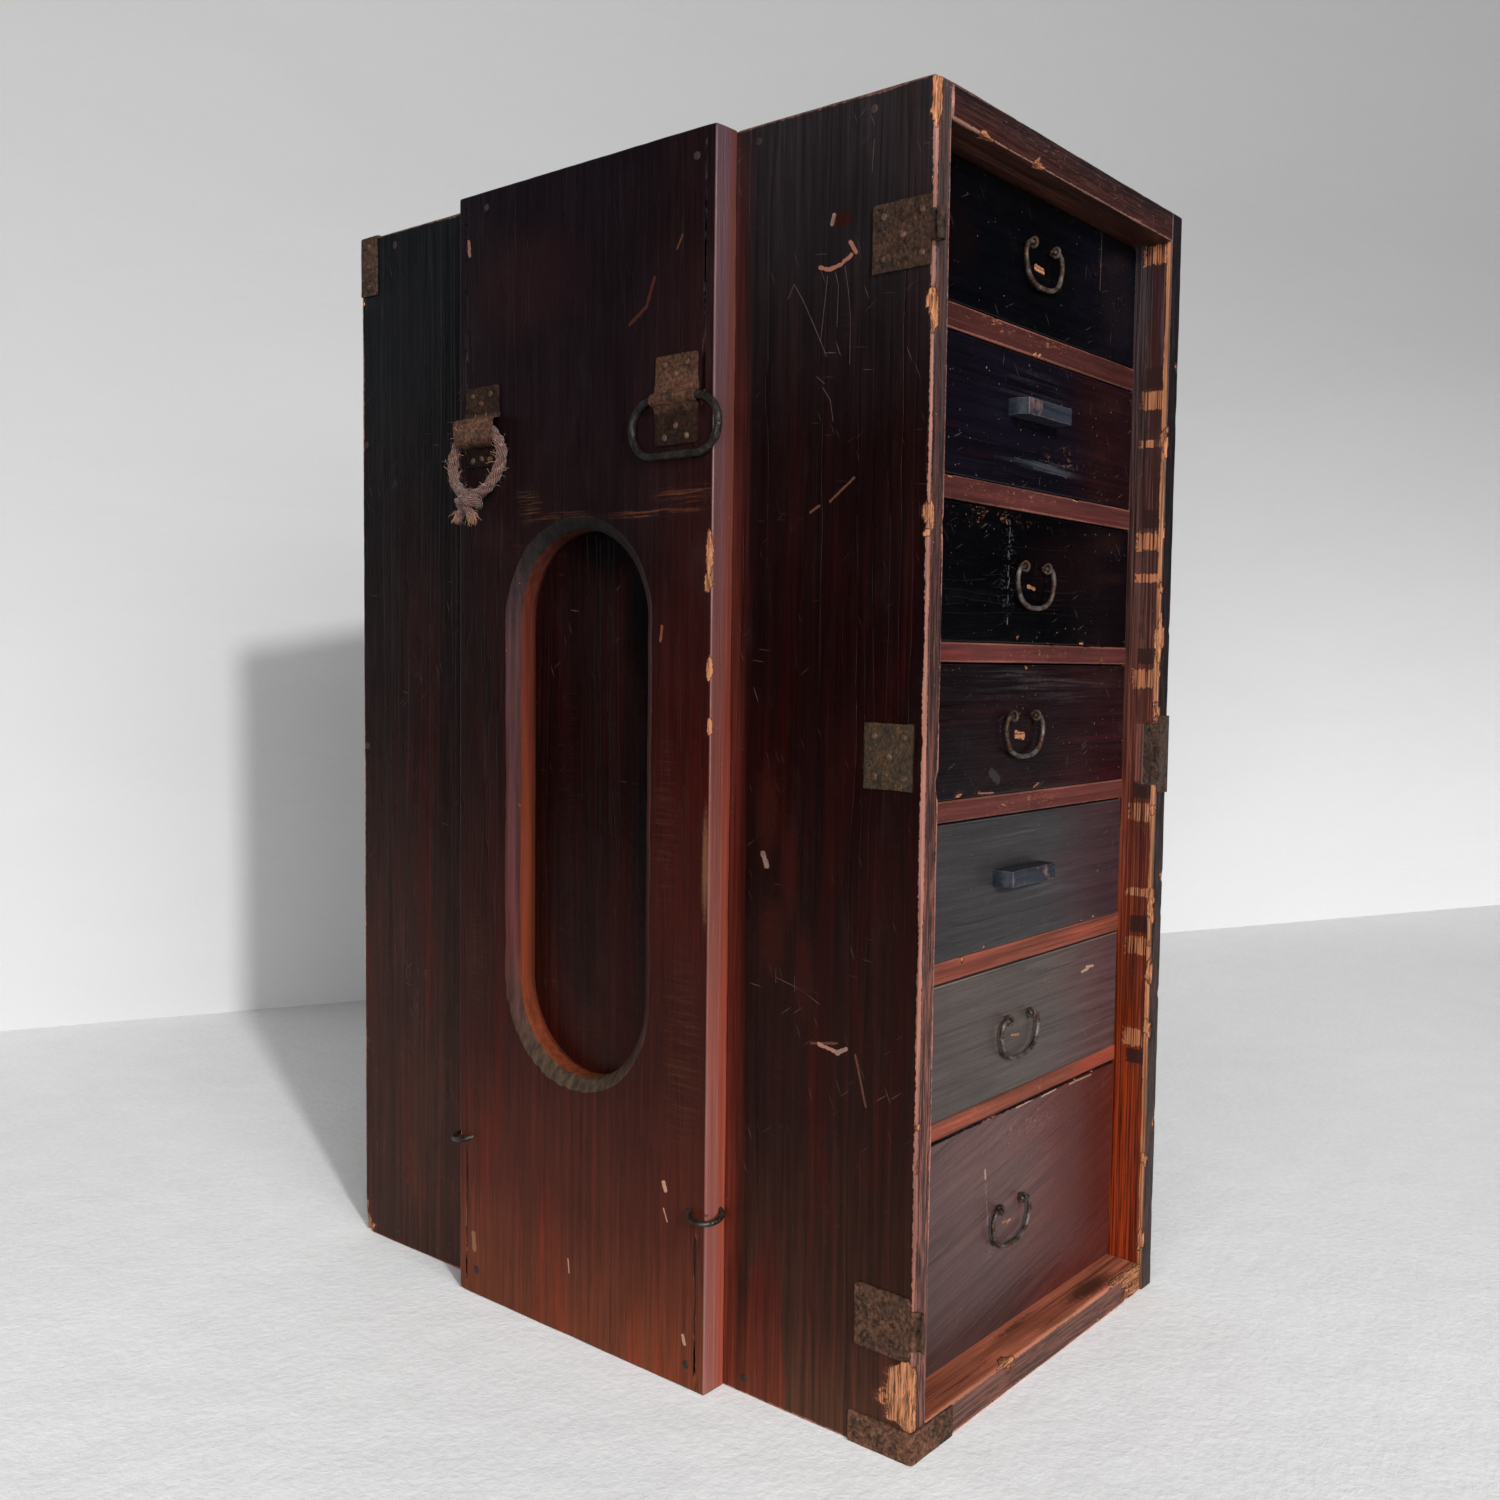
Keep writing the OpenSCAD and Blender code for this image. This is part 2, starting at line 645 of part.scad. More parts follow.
// Drawer front, with the laps for its sides and bottom and the holes for its pull
module drawer_front(n) {
    h = drawer_height(n);
    z = drawer_z(n);
    color("#2a1a1e") difference() {
        translate([-drawer_w / 2, y_face, z]) cube([drawer_w, front_t, h]);
        for (side = [0, 1]) mirror([side, 0, 0])
            translate([-drawer_w / 2 - over, box_start, z - over])
                cube([drawer_side_t + over, lap + over, h - side_drop + over]);
        translate([-drawer_w / 2, box_start, z - over])
            cube([drawer_w, lap + over, drawer_bottom_t + over]);
        if (len(search(n, ring_drawers)) > 0) at_eyes(n) rotate([-90, 0, 0])
            cylinder(h = pull_out + front_t + over, d = stem_d + 2 * nail_fit, $fn = 24);
        if (len(search(n, block_drawers)) > 0) block_tenon(n, nail_fit);
    }
}

// Drawer sides and back, three boards joined by fingers at the back corners
module drawer_box(n) {
    h = box_height(n);
    z = drawer_z(n) + drawer_bottom_t;
    finger = h / fingers;
    color("#8a5a3a") {
        for (side = [0, 1]) mirror([side, 0, 0]) difference() {
            translate([-drawer_w / 2, box_start, z]) cube([drawer_side_t, drawer_end - box_start, h]);
            translate([-drawer_w / 2 - over, drawer_end - drawer_back_t - joint_gap, z + finger - joint_gap])
                cube([drawer_side_t + 2 * over, drawer_back_t + over, finger + 2 * joint_gap]);
        }
        difference() {
            translate([-drawer_w / 2, drawer_end - drawer_back_t, z]) cube([drawer_w, drawer_back_t, h]);
            for (side = [0, 1], k = [0, 2]) mirror([side, 0, 0])
                translate([-drawer_w / 2 - over, drawer_end - drawer_back_t - over,
                    z + k * finger - over * (1 - k / 2)])
                    cube([drawer_side_t + joint_gap + over, drawer_back_t + 2 * over, finger + over]);
        }
    }
}

module drawer_bottom(n) {
    color("#7a4a2e") translate([-drawer_w / 2, box_start, drawer_z(n)])
        cube([drawer_w, drawer_end - box_start, drawer_bottom_t]);
}

// Children at the two eyes of drawer n's ring pull, on the pull's hinge line
module at_eyes(n) {
    for (side = [-1, 1])
        translate([pull_x(n) + side * eye_x, y_face - pull_out, pull_z(n)]) children();
}

// Two split pins: an eye in front, a stem through the wood, tails clenched inside
module pull_eyes(n) {
    color("#3a3230") at_eyes(n) {
        rotate([0, 90, 0]) rotate_extrude() translate([eye_r, 0]) circle(d = eye_wire, $fn = 20);
        translate([0, eye_r, 0]) rotate([-90, 0, 0])
            cylinder(h = pull_out - eye_r + front_t + tail_d / 2, d = stem_d, $fn = 24);
        translate([0, pull_out + front_t + tail_d / 2, -tail_len])
            cylinder(h = 2 * tail_len, d = tail_d, $fn = 16);
    }
}

// A ring pull: a round belly, a bend at each end, and two pins that point inwards
module ring_pull(n) {
    past = weld_in / belly_r * 180 / PI;
    color("#4a4442") translate([pull_x(n), y_face - pull_out, pull_z(n)]) {
        rotate([90, 0, 0]) {
            translate([0, belly_z, 0])
                rotate_extrude(angle = 180 + 2 * (belly_angle + past), start = 180 - belly_angle - past)
                    translate([belly_r, 0]) circle(d = pull_rod + weld, $fn = 24);
            for (side = [0, 1]) mirror([side, 0, 0]) translate([bend_x, -bend_r, 0])
                rotate_extrude(angle = 90 - belly_angle, start = belly_angle)
                    translate([bend_r, 0]) circle(d = pull_rod, $fn = 24);
        }
        for (side = [0, 1]) mirror([side, 0, 0]) translate([bend_x - pin_reach, 0, 0])
            rotate([0, 90, 0]) cylinder(h = pin_reach + 0.5, d = pull_pin, $fn = 24);
    }
}

// The tenon of drawer n's block pull; extra is the gap in its mortise
module block_tenon(n, extra) {
    translate([pull_x(n) - block_w / 4 - extra, y_face - over, pull_z(n) - block_h / 4 - extra])
        cube([block_w / 2 + 2 * extra, tenon_in + over + extra, block_h / 2 + 2 * extra]);
}

module block_pull(n) {
    bevel = block_h * 0.16;
    color("#4a505a") {
        translate([pull_x(n), y_face, pull_z(n) - block_h / 2]) linear_extrude(height = block_h)
            polygon([[-block_w / 2, 0], [-block_w / 2 + bevel / 2, bevel - block_out],
                [-block_w / 2 + bevel, -block_out], [block_w / 2 - bevel, -block_out],
                [block_w / 2 - bevel / 2, bevel - block_out], [block_w / 2, 0]]);
        block_tenon(n, 0);
    }
}

left_side();
right_side();
top_board();
bottom_board();
back_panel();
carrier_plank();
front_rail(1);  // front_rail_1
front_rail(2);  // front_rail_2
front_rail(3);  // front_rail_3
front_rail(4);  // front_rail_4
front_rail(5);  // front_rail_5
front_rail(6);  // front_rail_6
drawer_runners();
wood_pegs();
upper_hinge_leaf();
middle_plate();
lower_hinge_leaf();
strike_plate();
front_corner_bracket();
back_corner_bracket();
ring_strap();
carrying_ring();
rope_strap();
rope_loop();
rope_knot();
plank_staples();
iron_nails();
drawer_front(1);  // drawer_1_front
drawer_box(1);  // drawer_1_box
drawer_bottom(1);  // drawer_1_bottom
ring_pull(1);  // ring_pull_1
pull_eyes(1);  // pull_eyes_1
drawer_front(2);  // drawer_2_front
drawer_box(2);  // drawer_2_box
drawer_bottom(2);  // drawer_2_bottom
block_pull(2);  // block_pull_2
drawer_front(3);  // drawer_3_front
drawer_box(3);  // drawer_3_box
drawer_bottom(3);  // drawer_3_bottom
ring_pull(3);  // ring_pull_3
pull_eyes(3);  // pull_eyes_3
drawer_front(4);  // drawer_4_front
drawer_box(4);  // drawer_4_box
drawer_bottom(4);  // drawer_4_bottom
ring_pull(4);  // ring_pull_4
pull_eyes(4);  // pull_eyes_4
drawer_front(5);  // drawer_5_front
drawer_box(5);  // drawer_5_box
drawer_bottom(5);  // drawer_5_bottom
block_pull(5);  // block_pull_5
drawer_front(6);  // drawer_6_front
drawer_box(6);  // drawer_6_box
drawer_bottom(6);  // drawer_6_bottom
ring_pull(6);  // ring_pull_6
pull_eyes(6);  // pull_eyes_6
drawer_front(7);  // drawer_7_front
drawer_box(7);  // drawer_7_box
drawer_bottom(7);  // drawer_7_bottom
ring_pull(7);  // ring_pull_7
pull_eyes(7);  // pull_eyes_7
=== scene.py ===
"""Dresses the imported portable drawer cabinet: worn lacquered boards, ironwork, rope and drawers.

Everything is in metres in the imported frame: the front faces -Y, the carrier plank faces -X,
and the floor is z = 0. Objects stay at the origin, with their place in their meshes.
"""

import json
import math

import bpy
import numpy as np
from mathutils import Matrix, Vector


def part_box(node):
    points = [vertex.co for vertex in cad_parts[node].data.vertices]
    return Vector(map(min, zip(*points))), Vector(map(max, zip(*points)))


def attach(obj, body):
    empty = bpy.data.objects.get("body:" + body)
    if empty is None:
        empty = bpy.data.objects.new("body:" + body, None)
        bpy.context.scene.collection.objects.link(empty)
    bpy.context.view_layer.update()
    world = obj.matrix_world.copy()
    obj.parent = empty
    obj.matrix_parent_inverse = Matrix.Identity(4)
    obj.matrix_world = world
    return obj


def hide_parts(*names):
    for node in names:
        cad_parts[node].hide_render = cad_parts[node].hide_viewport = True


bl_info = {"name": "Portable drawer cabinet", "version": (1, 0, 0), "blender": (4, 5, 0),
    "location": "3D View > Sidebar > Cabinet",
    "description": "Dresses a back-carried drawer cabinet in worn lacquer, iron and rope",
    "category": "Object"}

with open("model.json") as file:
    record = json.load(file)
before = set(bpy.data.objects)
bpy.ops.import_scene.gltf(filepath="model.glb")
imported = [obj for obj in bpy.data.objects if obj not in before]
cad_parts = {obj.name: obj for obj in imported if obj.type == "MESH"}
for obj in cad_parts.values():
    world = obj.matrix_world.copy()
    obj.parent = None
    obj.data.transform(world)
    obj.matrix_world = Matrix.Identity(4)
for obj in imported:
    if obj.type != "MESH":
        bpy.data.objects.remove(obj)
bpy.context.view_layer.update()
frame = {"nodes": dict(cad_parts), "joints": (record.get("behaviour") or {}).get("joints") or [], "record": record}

MM = 1000
# In metres, the sheet iron's thickness, how far the hinge pins stand out, and the staples' height
SHEET, KNUCKLE_OUT, STAPLE_Z = 0.0012, 0.00305, 0.103
DRAWERS = range(1, 8)
RING_DRAWERS = (1, 3, 4, 6, 7)
BLOCK_DRAWERS = (2, 5)
RAILS = range(1, 7)


def box_of(node):
    """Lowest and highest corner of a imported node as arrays."""
    low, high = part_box(node)
    return np.array(low), np.array(high)


SIDE_LOW, SIDE_HIGH = box_of("left_side")
PLANK_LOW, PLANK_HIGH = box_of("carrier_plank")
CASE_HEIGHT = SIDE_HIGH[2]
FRONT_Y = SIDE_LOW[1]
SIDE_X = SIDE_LOW[0]
PLANK_X = PLANK_LOW[0]
HINGE_Z = frame["record"]["behaviour"]["joints"][-1]["pos_m"][2]
# Each strap's tunnel for its ring or rope: its radius, and how far its lower half lies below
STRAPS = {"ring_strap": (0.0024, 0.0), "rope_strap": (0.0039, 0.0092)}
LEAVES = ("upper_hinge_leaf", "lower_hinge_leaf")
LEAF_WIDTH = 0.036


# Sizes and colours


def length(name, text, default, low=0.0, high=0.1):
    """A length property in metres."""
    return bpy.props.FloatProperty(name=name, description=text, default=default, min=low, max=high,
        precision=5, unit="LENGTH", subtype="DISTANCE")


def colour(name, text, default):
    """A linear colour property."""
    return bpy.props.FloatVectorProperty(name=name, description=text, default=default, size=3, min=0,
        max=1, subtype="COLOR")


class CabinetSizes(bpy.types.PropertyGroup):
    """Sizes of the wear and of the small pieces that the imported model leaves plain."""

    arris: length("Arris rounding", "Mean radius of the boards' worn arrises", 0.0012)
    chip_depth: length("Chip depth", "Depth of the deepest chips along the arrises", 0.0022)
    face_wave: length("Face wave", "How far the planed faces rise and fall", 0.00016)
    iron_arris: length("Iron arris", "Radius of the sheet iron's arrises", 0.00035)
    nail_head: length("Nail head", "Diameter of the nail heads", 0.0042)
    nail_rise: length("Nail rise", "Height of the nail heads", 0.0011)
    peg_head: length("Peg head", "Diameter of the wooden pegs", 0.0052)
    rope_diameter: length("Rope", "Diameter of the rope", 0.007)
    rope_twist: length("Rope twist", "Length of one turn of the rope's strands", 0.024)
    fuzz_length: length("Fuzz", "Length of the loose fibres on the rope", 0.0046)
    ring_bar: length("Carrying ring bar", "Thickness of the carrying ring's bar", 0.0046)
    pull_rod: length("Ring pull rod", "Thickness of a ring pull's rod", 0.0028)
    eye_wire: length("Eye wire", "Thickness of the ring pulls' eyes", 0.0018)
    staple_wire: length("Staple wire", "Thickness of the plank's staples", 0.0032)


class CabinetColours(bpy.types.PropertyGroup):
    """Linear base colours of the finishes."""

    bare_cedar: colour("Bare cedar", "Freshly broken cedar", (0.36, 0.150, 0.072))
    old_cedar: colour("Old cedar", "Unpainted cedar inside the drawers", (0.30, 0.155, 0.075))
    hardwood: colour("Pull hardwood", "Stained hardwood of the block pulls", (0.0085, 0.0100, 0.0150))
    rust: colour("Rust", "Rust on the sheet iron", (0.082, 0.037, 0.0225))
    scale: colour("Forge scale", "Dark scale on the ironwork", (0.014, 0.0115, 0.0095))
    iron: colour("Worn iron", "Iron rubbed bright by hands", (0.15, 0.145, 0.14))
    brass: colour("Brass", "Tarnished brass of the middle plate", (0.095, 0.048, 0.020))
    hemp: colour("Hemp", "Strands of the rope", (0.078, 0.034, 0.027))
    frayed: colour("Frayed hemp", "Broken fibres of the rope's ends", (0.27, 0.13, 0.070))
    floor: colour("Floor", "Pale floor", (0.71, 0.71, 0.71))
    wall: colour("Wall", "Pale wall", (0.42, 0.42, 0.42))


def sizes():
    """The sizes as they stand in the add-on's panel."""
    return bpy.context.scene.cabinet_sizes


def tint(name):
    """One of the finishes' colours with alpha."""
    return (*getattr(bpy.context.scene.cabinet_colours, name), 1.0)


def shades(*rows):
    """Colour stops from rows of a height in millimetres and a colour in ten thousandths."""
    return [(z / MM, tuple(part / 10000 for part in tone)) for z, *tone in rows]


# Numbers and meshes


def cloud(points, size, seed, octaves=2):
    """Smooth random values, about -1 to 1, at points; size is the bumps' length, one number or three."""
    rng = np.random.default_rng(seed)
    total, strength, reach = np.zeros(len(points)), 1.0, 0.0
    size = np.broadcast_to(np.asarray(size, float), (3,))
    for _ in range(octaves):
        table = rng.uniform(-1, 1, 4096)
        order = rng.permutation(4096)
        cell = np.floor(points / size).astype(int)
        part = points / size - cell
        part = part * part * (3 - 2 * part)
        for corner in np.ndindex(2, 2, 2):
            i, j, k = (cell + corner).T
            key = order[(i + order[(j + order[k & 4095]) & 4095]) & 4095]
            total += strength * np.prod(np.where(corner, part, 1 - part), axis=1) * table[key]
        reach += strength
        strength, size = strength / 2, size / 2.1
    return total / reach


def soft_step(value, low, high):
    """0 under low, 1 over high, smooth between."""
    part = np.clip((value - low) / (high - low), 0, 1)
    return part * part * (3 - 2 * part)


# Grid lines beside an arris, in radii of its rounding
NEAR_ARRIS = np.array([0, 0.25, 0.6, 1.0, 1.8, 3.0, 4.6, 6.6])


def lines(low, high, step, arris):
    """Grid lines from low to high, close together by the two arrises."""
    edge, room = arris * NEAR_ARRIS, 0.3 * (high - low)
    edge = edge[edge <= room] if edge[3] < room else edge[:3] * (room / edge[2])
    inner = high - low - 2 * edge[-1]
    count = max(2, math.ceil(inner / step) + 1)
    middle = np.linspace(low + edge[-1], high - edge[-1], count)
    return np.concatenate([low + edge[:-1], middle, (high - edge[:-1])[::-1]])


def box_grid(grid):
    """Corners and outward quads over the surface of a box with these grid lines along x, y, z."""
    counts = [len(g) for g in grid]
    quads = []
    for axis in range(3):
        u, v = (a for a in range(3) if a != axis)
        i, j = np.meshgrid(np.arange(counts[u] - 1), np.arange(counts[v] - 1), indexing="ij")
        for end in (0, counts[axis] - 1):
            turn = ((0, 0), (1, 0), (1, 1), (0, 1))
            quad = np.zeros((i.size, 4, 3), int)
            quad[..., axis] = end
            for n, (du, dv) in enumerate(turn):
                quad[:, n, u] = (i + du).ravel()
                quad[:, n, v] = (j + dv).ravel()
            quads.append(quad if (end > 0) != (axis == 1) else quad[:, ::-1])
    quads = np.concatenate(quads)
    keys = quads @ [1, counts[0], counts[0] * counts[1]]
    used, faces = np.unique(keys.ravel(), return_inverse=True)
    i, j, k = used % counts[0], used // counts[0] % counts[1], used // (counts[0] * counts[1])
    return np.stack([grid[0][i], grid[1][j], grid[2][k]], 1), faces.reshape(-1, 4)


def rounded(points, low, high, radius):
    """Points of a box's surface, drawn in where they lie outside its arrises' rounding."""
    radius = radius[:, None]
    inner = np.clip(points, low + radius, high - radius)
    out = points - inner
    far = np.linalg.norm(out, axis=1, keepdims=True)
    return inner + out * np.minimum(1, radius / np.maximum(far, 1e-9)), out / np.maximum(far, 1e-9)


def worn(points, low, high, seed, chips=1.0, places=(), arris=None):
    """Wears a board: uneven arrises, chips along them and waves in its planed faces.

    places are (centre, reach along x y z, amount) where it is worn more. Gives the points, the
    distance of each from the nearest arris, and how bare the wood is there."""
    arris = arris or sizes().arris
    depths = np.sort(np.minimum(points - low, high - points), axis=1)
    from_arris = depths[:, 1]
    more = np.zeros(len(points))
    for centre, reach, amount in places:
        more += amount * np.exp(-(((points - centre) / reach) ** 2).sum(1))
    radius = arris * (1 + 0.45 * cloud(points, 0.05, seed) + 0.3 * cloud(points, 0.009, seed + 1))
    moved, way = rounded(points, low, high, radius * (1 + 0.7 * np.clip(more, 0, 1.5)))
    flakes = cloud(points, 0.011, seed + 2, 3) + 0.55 * cloud(points, 0.06, seed + 3)
    chip = soft_step(flakes + more - 0.42 / max(chips, 0.01), 0, 0.5)
    chip *= np.exp(-((from_arris / 0.0042) ** 2) / (1 + 2 * np.clip(more, 0, 2)))
    deep = sizes().chip_depth * chip * (0.5 + 0.5 * cloud(points, 0.005, seed + 4))
    wave = sizes().face_wave * cloud(points, 0.045, seed + 5) * (from_arris > 0.004)
    moved = moved - way * (deep - np.minimum(wave, 0))[:, None]
    bare = np.clip(soft_step(chip, 0.12, 0.55) + 0.6 * soft_step(more, 0.5, 1.0), 0, 1)
    return moved, from_arris, bare


def new_mesh(name, points, faces, smooth_angle=None, **values):
    """A mesh object of these points and faces, smooth, with float attributes at its points."""
    mesh = bpy.data.meshes.new(name)
    mesh.from_pydata(np.asarray(points, float).tolist(), [], [list(map(int, f)) for f in faces])
    for key, value in values.items():
        mesh.attributes.new(key, "FLOAT", "POINT").data.foreach_set("value",
            np.asarray(value, np.float32))
    mesh.shade_smooth()
    if smooth_angle:
        mesh.set_sharp_from_angle(angle=math.radians(smooth_angle))
    mesh.update()
    piece = bpy.data.objects.new(name, mesh)
    bpy.context.scene.collection.objects.link(piece)
    return piece


def dress(piece, material, body, nodes):
    """Gives a new piece its finish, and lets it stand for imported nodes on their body."""
    if material is not None:
        piece.data.materials.clear()
        piece.data.materials.append(material)
    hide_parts(*nodes)
    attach(piece, body)
    return piece


def finish_node(node, material):
    """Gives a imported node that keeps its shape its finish."""
    mesh_owner = frame["nodes"][node]
    mesh_owner.data.materials.clear()
    mesh_owner.data.materials.append(material)


def worn_board(name, low, high, steps, seed, **wear):
    """A worn board as an object with its arris and bare attributes."""
    arris = sizes().arris
    points, faces = box_grid([lines(low[a], high[a], steps[a], arris) for a in range(3)])
    points, from_arris, bare = worn(points, low, high, seed, **wear)
    return new_mesh(name, points, faces, arris=from_arris, bare=bare)


def evaluated(piece):
    """A new mesh of a piece as its modifiers make it."""
    bpy.context.view_layer.update()
    graph = bpy.context.evaluated_depsgraph_get()
    return bpy.data.meshes.new_from_object(piece.evaluated_get(graph), preserve_all_data_layers=True,
        depsgraph=graph)


def cut_box(piece, low, high):
    """Cuts a box out of a piece."""
    cutter = new_mesh("cutter", *box_grid([np.array([low[a], high[a]]) for a in range(3)]))
    cut = piece.modifiers.new("Recess", "BOOLEAN")
    cut.operation, cut.solver, cut.object = "DIFFERENCE", "EXACT", cutter
    mesh = evaluated(piece)
    piece.modifiers.remove(cut)
    piece.data = mesh
    bpy.data.objects.remove(cutter)


def frames_along(path):
    """Unit tangent, side and up vectors along a path, turning as little as possible."""
    tangent = np.gradient(path, axis=0)
    tangent /= np.linalg.norm(tangent, axis=1, keepdims=True)
    side = np.zeros_like(path)
    first = np.cross(tangent[0], (0, 0, 1) if abs(tangent[0][2]) < 0.9 else (1, 0, 0))
    side[0] = first / np.linalg.norm(first)
    for n in range(1, len(path)):
        flat = side[n - 1] - tangent[n] * (side[n - 1] @ tangent[n])
        side[n] = flat / np.linalg.norm(flat)
    return tangent, side, np.cross(tangent, side)


def swept(path, radii, sides=12, closed=False):
    """Points and faces of a rod along a path; radii is its radius at each point of it."""
    path = np.asarray(path, float)
    radii = np.broadcast_to(np.asarray(radii, float), (len(path),))
    _, side, up = frames_along(np.concatenate([path[-2:-1], path, path[1:2]]) if closed else path)
    if closed:
        path, radii = path[:-1], radii[:-1]
        side, up = side[1:-2], up[1:-2]
        # Closes the twist that is left after one round
        last = frames_along(np.concatenate([path, path[:2]]))
        angle = math.atan2(last[1][-2] @ last[2][0], last[1][-2] @ last[1][0])
        turn = -angle * np.linspace(0, 1, len(path), endpoint=False)[:, None]
        base_side, base_up = last[1][: len(path)], last[2][: len(path)]
        side = base_side * np.cos(turn) + base_up * np.sin(turn)
        up = base_up * np.cos(turn) - base_side * np.sin(turn)
    angles = np.linspace(0, 2 * math.pi, sides, endpoint=False)
    ring = np.cos(angles)[None, :, None] * side[:, None] + np.sin(angles)[None, :, None] * up[:, None]
    points = (path[:, None] + radii[:, None, None] * ring).reshape(-1, 3)
    rows = len(path)
    i, k = np.meshgrid(np.arange(rows if closed else rows - 1), np.arange(sides), indexing="ij")
    i, k = i.ravel(), k.ravel()
    after, beside = (i + 1) % rows, (k + 1) % sides
    start, end = i * sides, after * sides
    faces = np.stack([start + k, start + beside, end + beside, end + k], 1).tolist()
    if not closed:
        faces += [list(range(sides))[::-1], list(range((rows - 1) * sides, rows * sides))]
    return points, faces


def joined(*parts):
    """Several (points, faces) as one."""
    points, faces, start = [], [], 0
    for part_points, part_faces in parts:
        points.append(np.asarray(part_points))
        faces += [[int(n) + start for n in f] for f in part_faces]
        start += len(part_points)
    return np.concatenate(points), faces


def smooth_path(corners, step=0.0008):
    """A smooth curve through points, with even short steps."""
    corners = np.asarray(corners, float)
    ends = np.concatenate([[2 * corners[0] - corners[1]], corners, [2 * corners[-1] - corners[-2]]])
    found = []
    for a, b, c, d in zip(ends, ends[1:], ends[2:], ends[3:]):
        t = np.linspace(0, 1, 16, endpoint=False)[:, None]
        found.append(0.5 * (2 * b + (c - a) * t + (2 * a - 5 * b + 4 * c - d) * t**2
            + (3 * b - a - 3 * c + d) * t**3))
    found = np.concatenate([*found, corners[-1:]])
    along = np.concatenate([[0], np.cumsum(np.linalg.norm(np.diff(found, axis=0), axis=1))])
    even = np.linspace(0, along[-1], max(4, int(along[-1] / step) + 1))
    return np.stack([np.interp(even, along, found[:, a]) for a in range(3)], 1)


def arc(centre, radius, start, end, count):
    """Points on an upright arc, angles in degrees up from +Y."""
    turn = np.radians(np.linspace(start, end, count))
    points = np.tile(np.asarray(centre, float), (count, 1))
    points[:, 1] += radius * np.cos(turn)
    points[:, 2] += radius * np.sin(turn)
    return points


# Finishes


class Value:
    """What a node gives, with the usual arithmetic."""

    def __init__(self, nodes, socket):
        self.nodes, self.socket = nodes, socket

    def other(self, key):
        """Another output of the same node."""
        return Value(self.nodes, self.socket.node.outputs[key])

    def __add__(self, more):
        return self.nodes.math("ADD", self, more)

    def __sub__(self, less):
        return self.nodes.math("SUBTRACT", self, less)

    def __rsub__(self, whole):
        return self.nodes.math("SUBTRACT", whole, self)

    def __mul__(self, times):
        return self.nodes.math("MULTIPLY", self, times)

    def __truediv__(self, by):
        return self.nodes.math("DIVIDE", self, by)


class Nodes:
    """A node tree built step by step. Steps take values of other nodes or plain ones."""

    def feed(self, socket, value):
        if isinstance(value, Value):
            self.tree.links.new(value.socket, socket)
        elif value is not None:
            socket.default_value = value

    def add(self, kind, *values, settings=(), **named):
        """Adds a node and gives its first output. Named inputs are spelled with _ for spaces."""
        node = self.tree.nodes.new(kind if "Node" in kind else self.PREFIX + kind)
        for key, value in dict(settings).items():
            setattr(node, key, value)
        for socket, value in zip(node.inputs, values):
            self.feed(socket, value)
        for key, value in named.items():
            self.feed(node.inputs[key.replace("_", " ")], value)
        return Value(self, node.outputs[0]) if node.outputs else node

    def math(self, operation, a, b=0.0, clamp=False):
        return self.add("ShaderNodeMath", a, b, settings={"operation": operation, "use_clamp": clamp})

    def vector(self, operation, a, b=None):
        return self.add("ShaderNodeVectorMath", a, b, settings={"operation": operation})

    def scaled(self, vector, factor):
        """A colour or vector times a number."""
        vector = vector if isinstance(vector, Value) else tuple(vector)[:3]
        return self.add("ShaderNodeVectorMath", vector, settings={"operation": "SCALE"}, Scale=factor)

    def parts(self, vector):
        x = self.add("ShaderNodeSeparateXYZ", vector)
        return x, x.other(1), x.other(2)


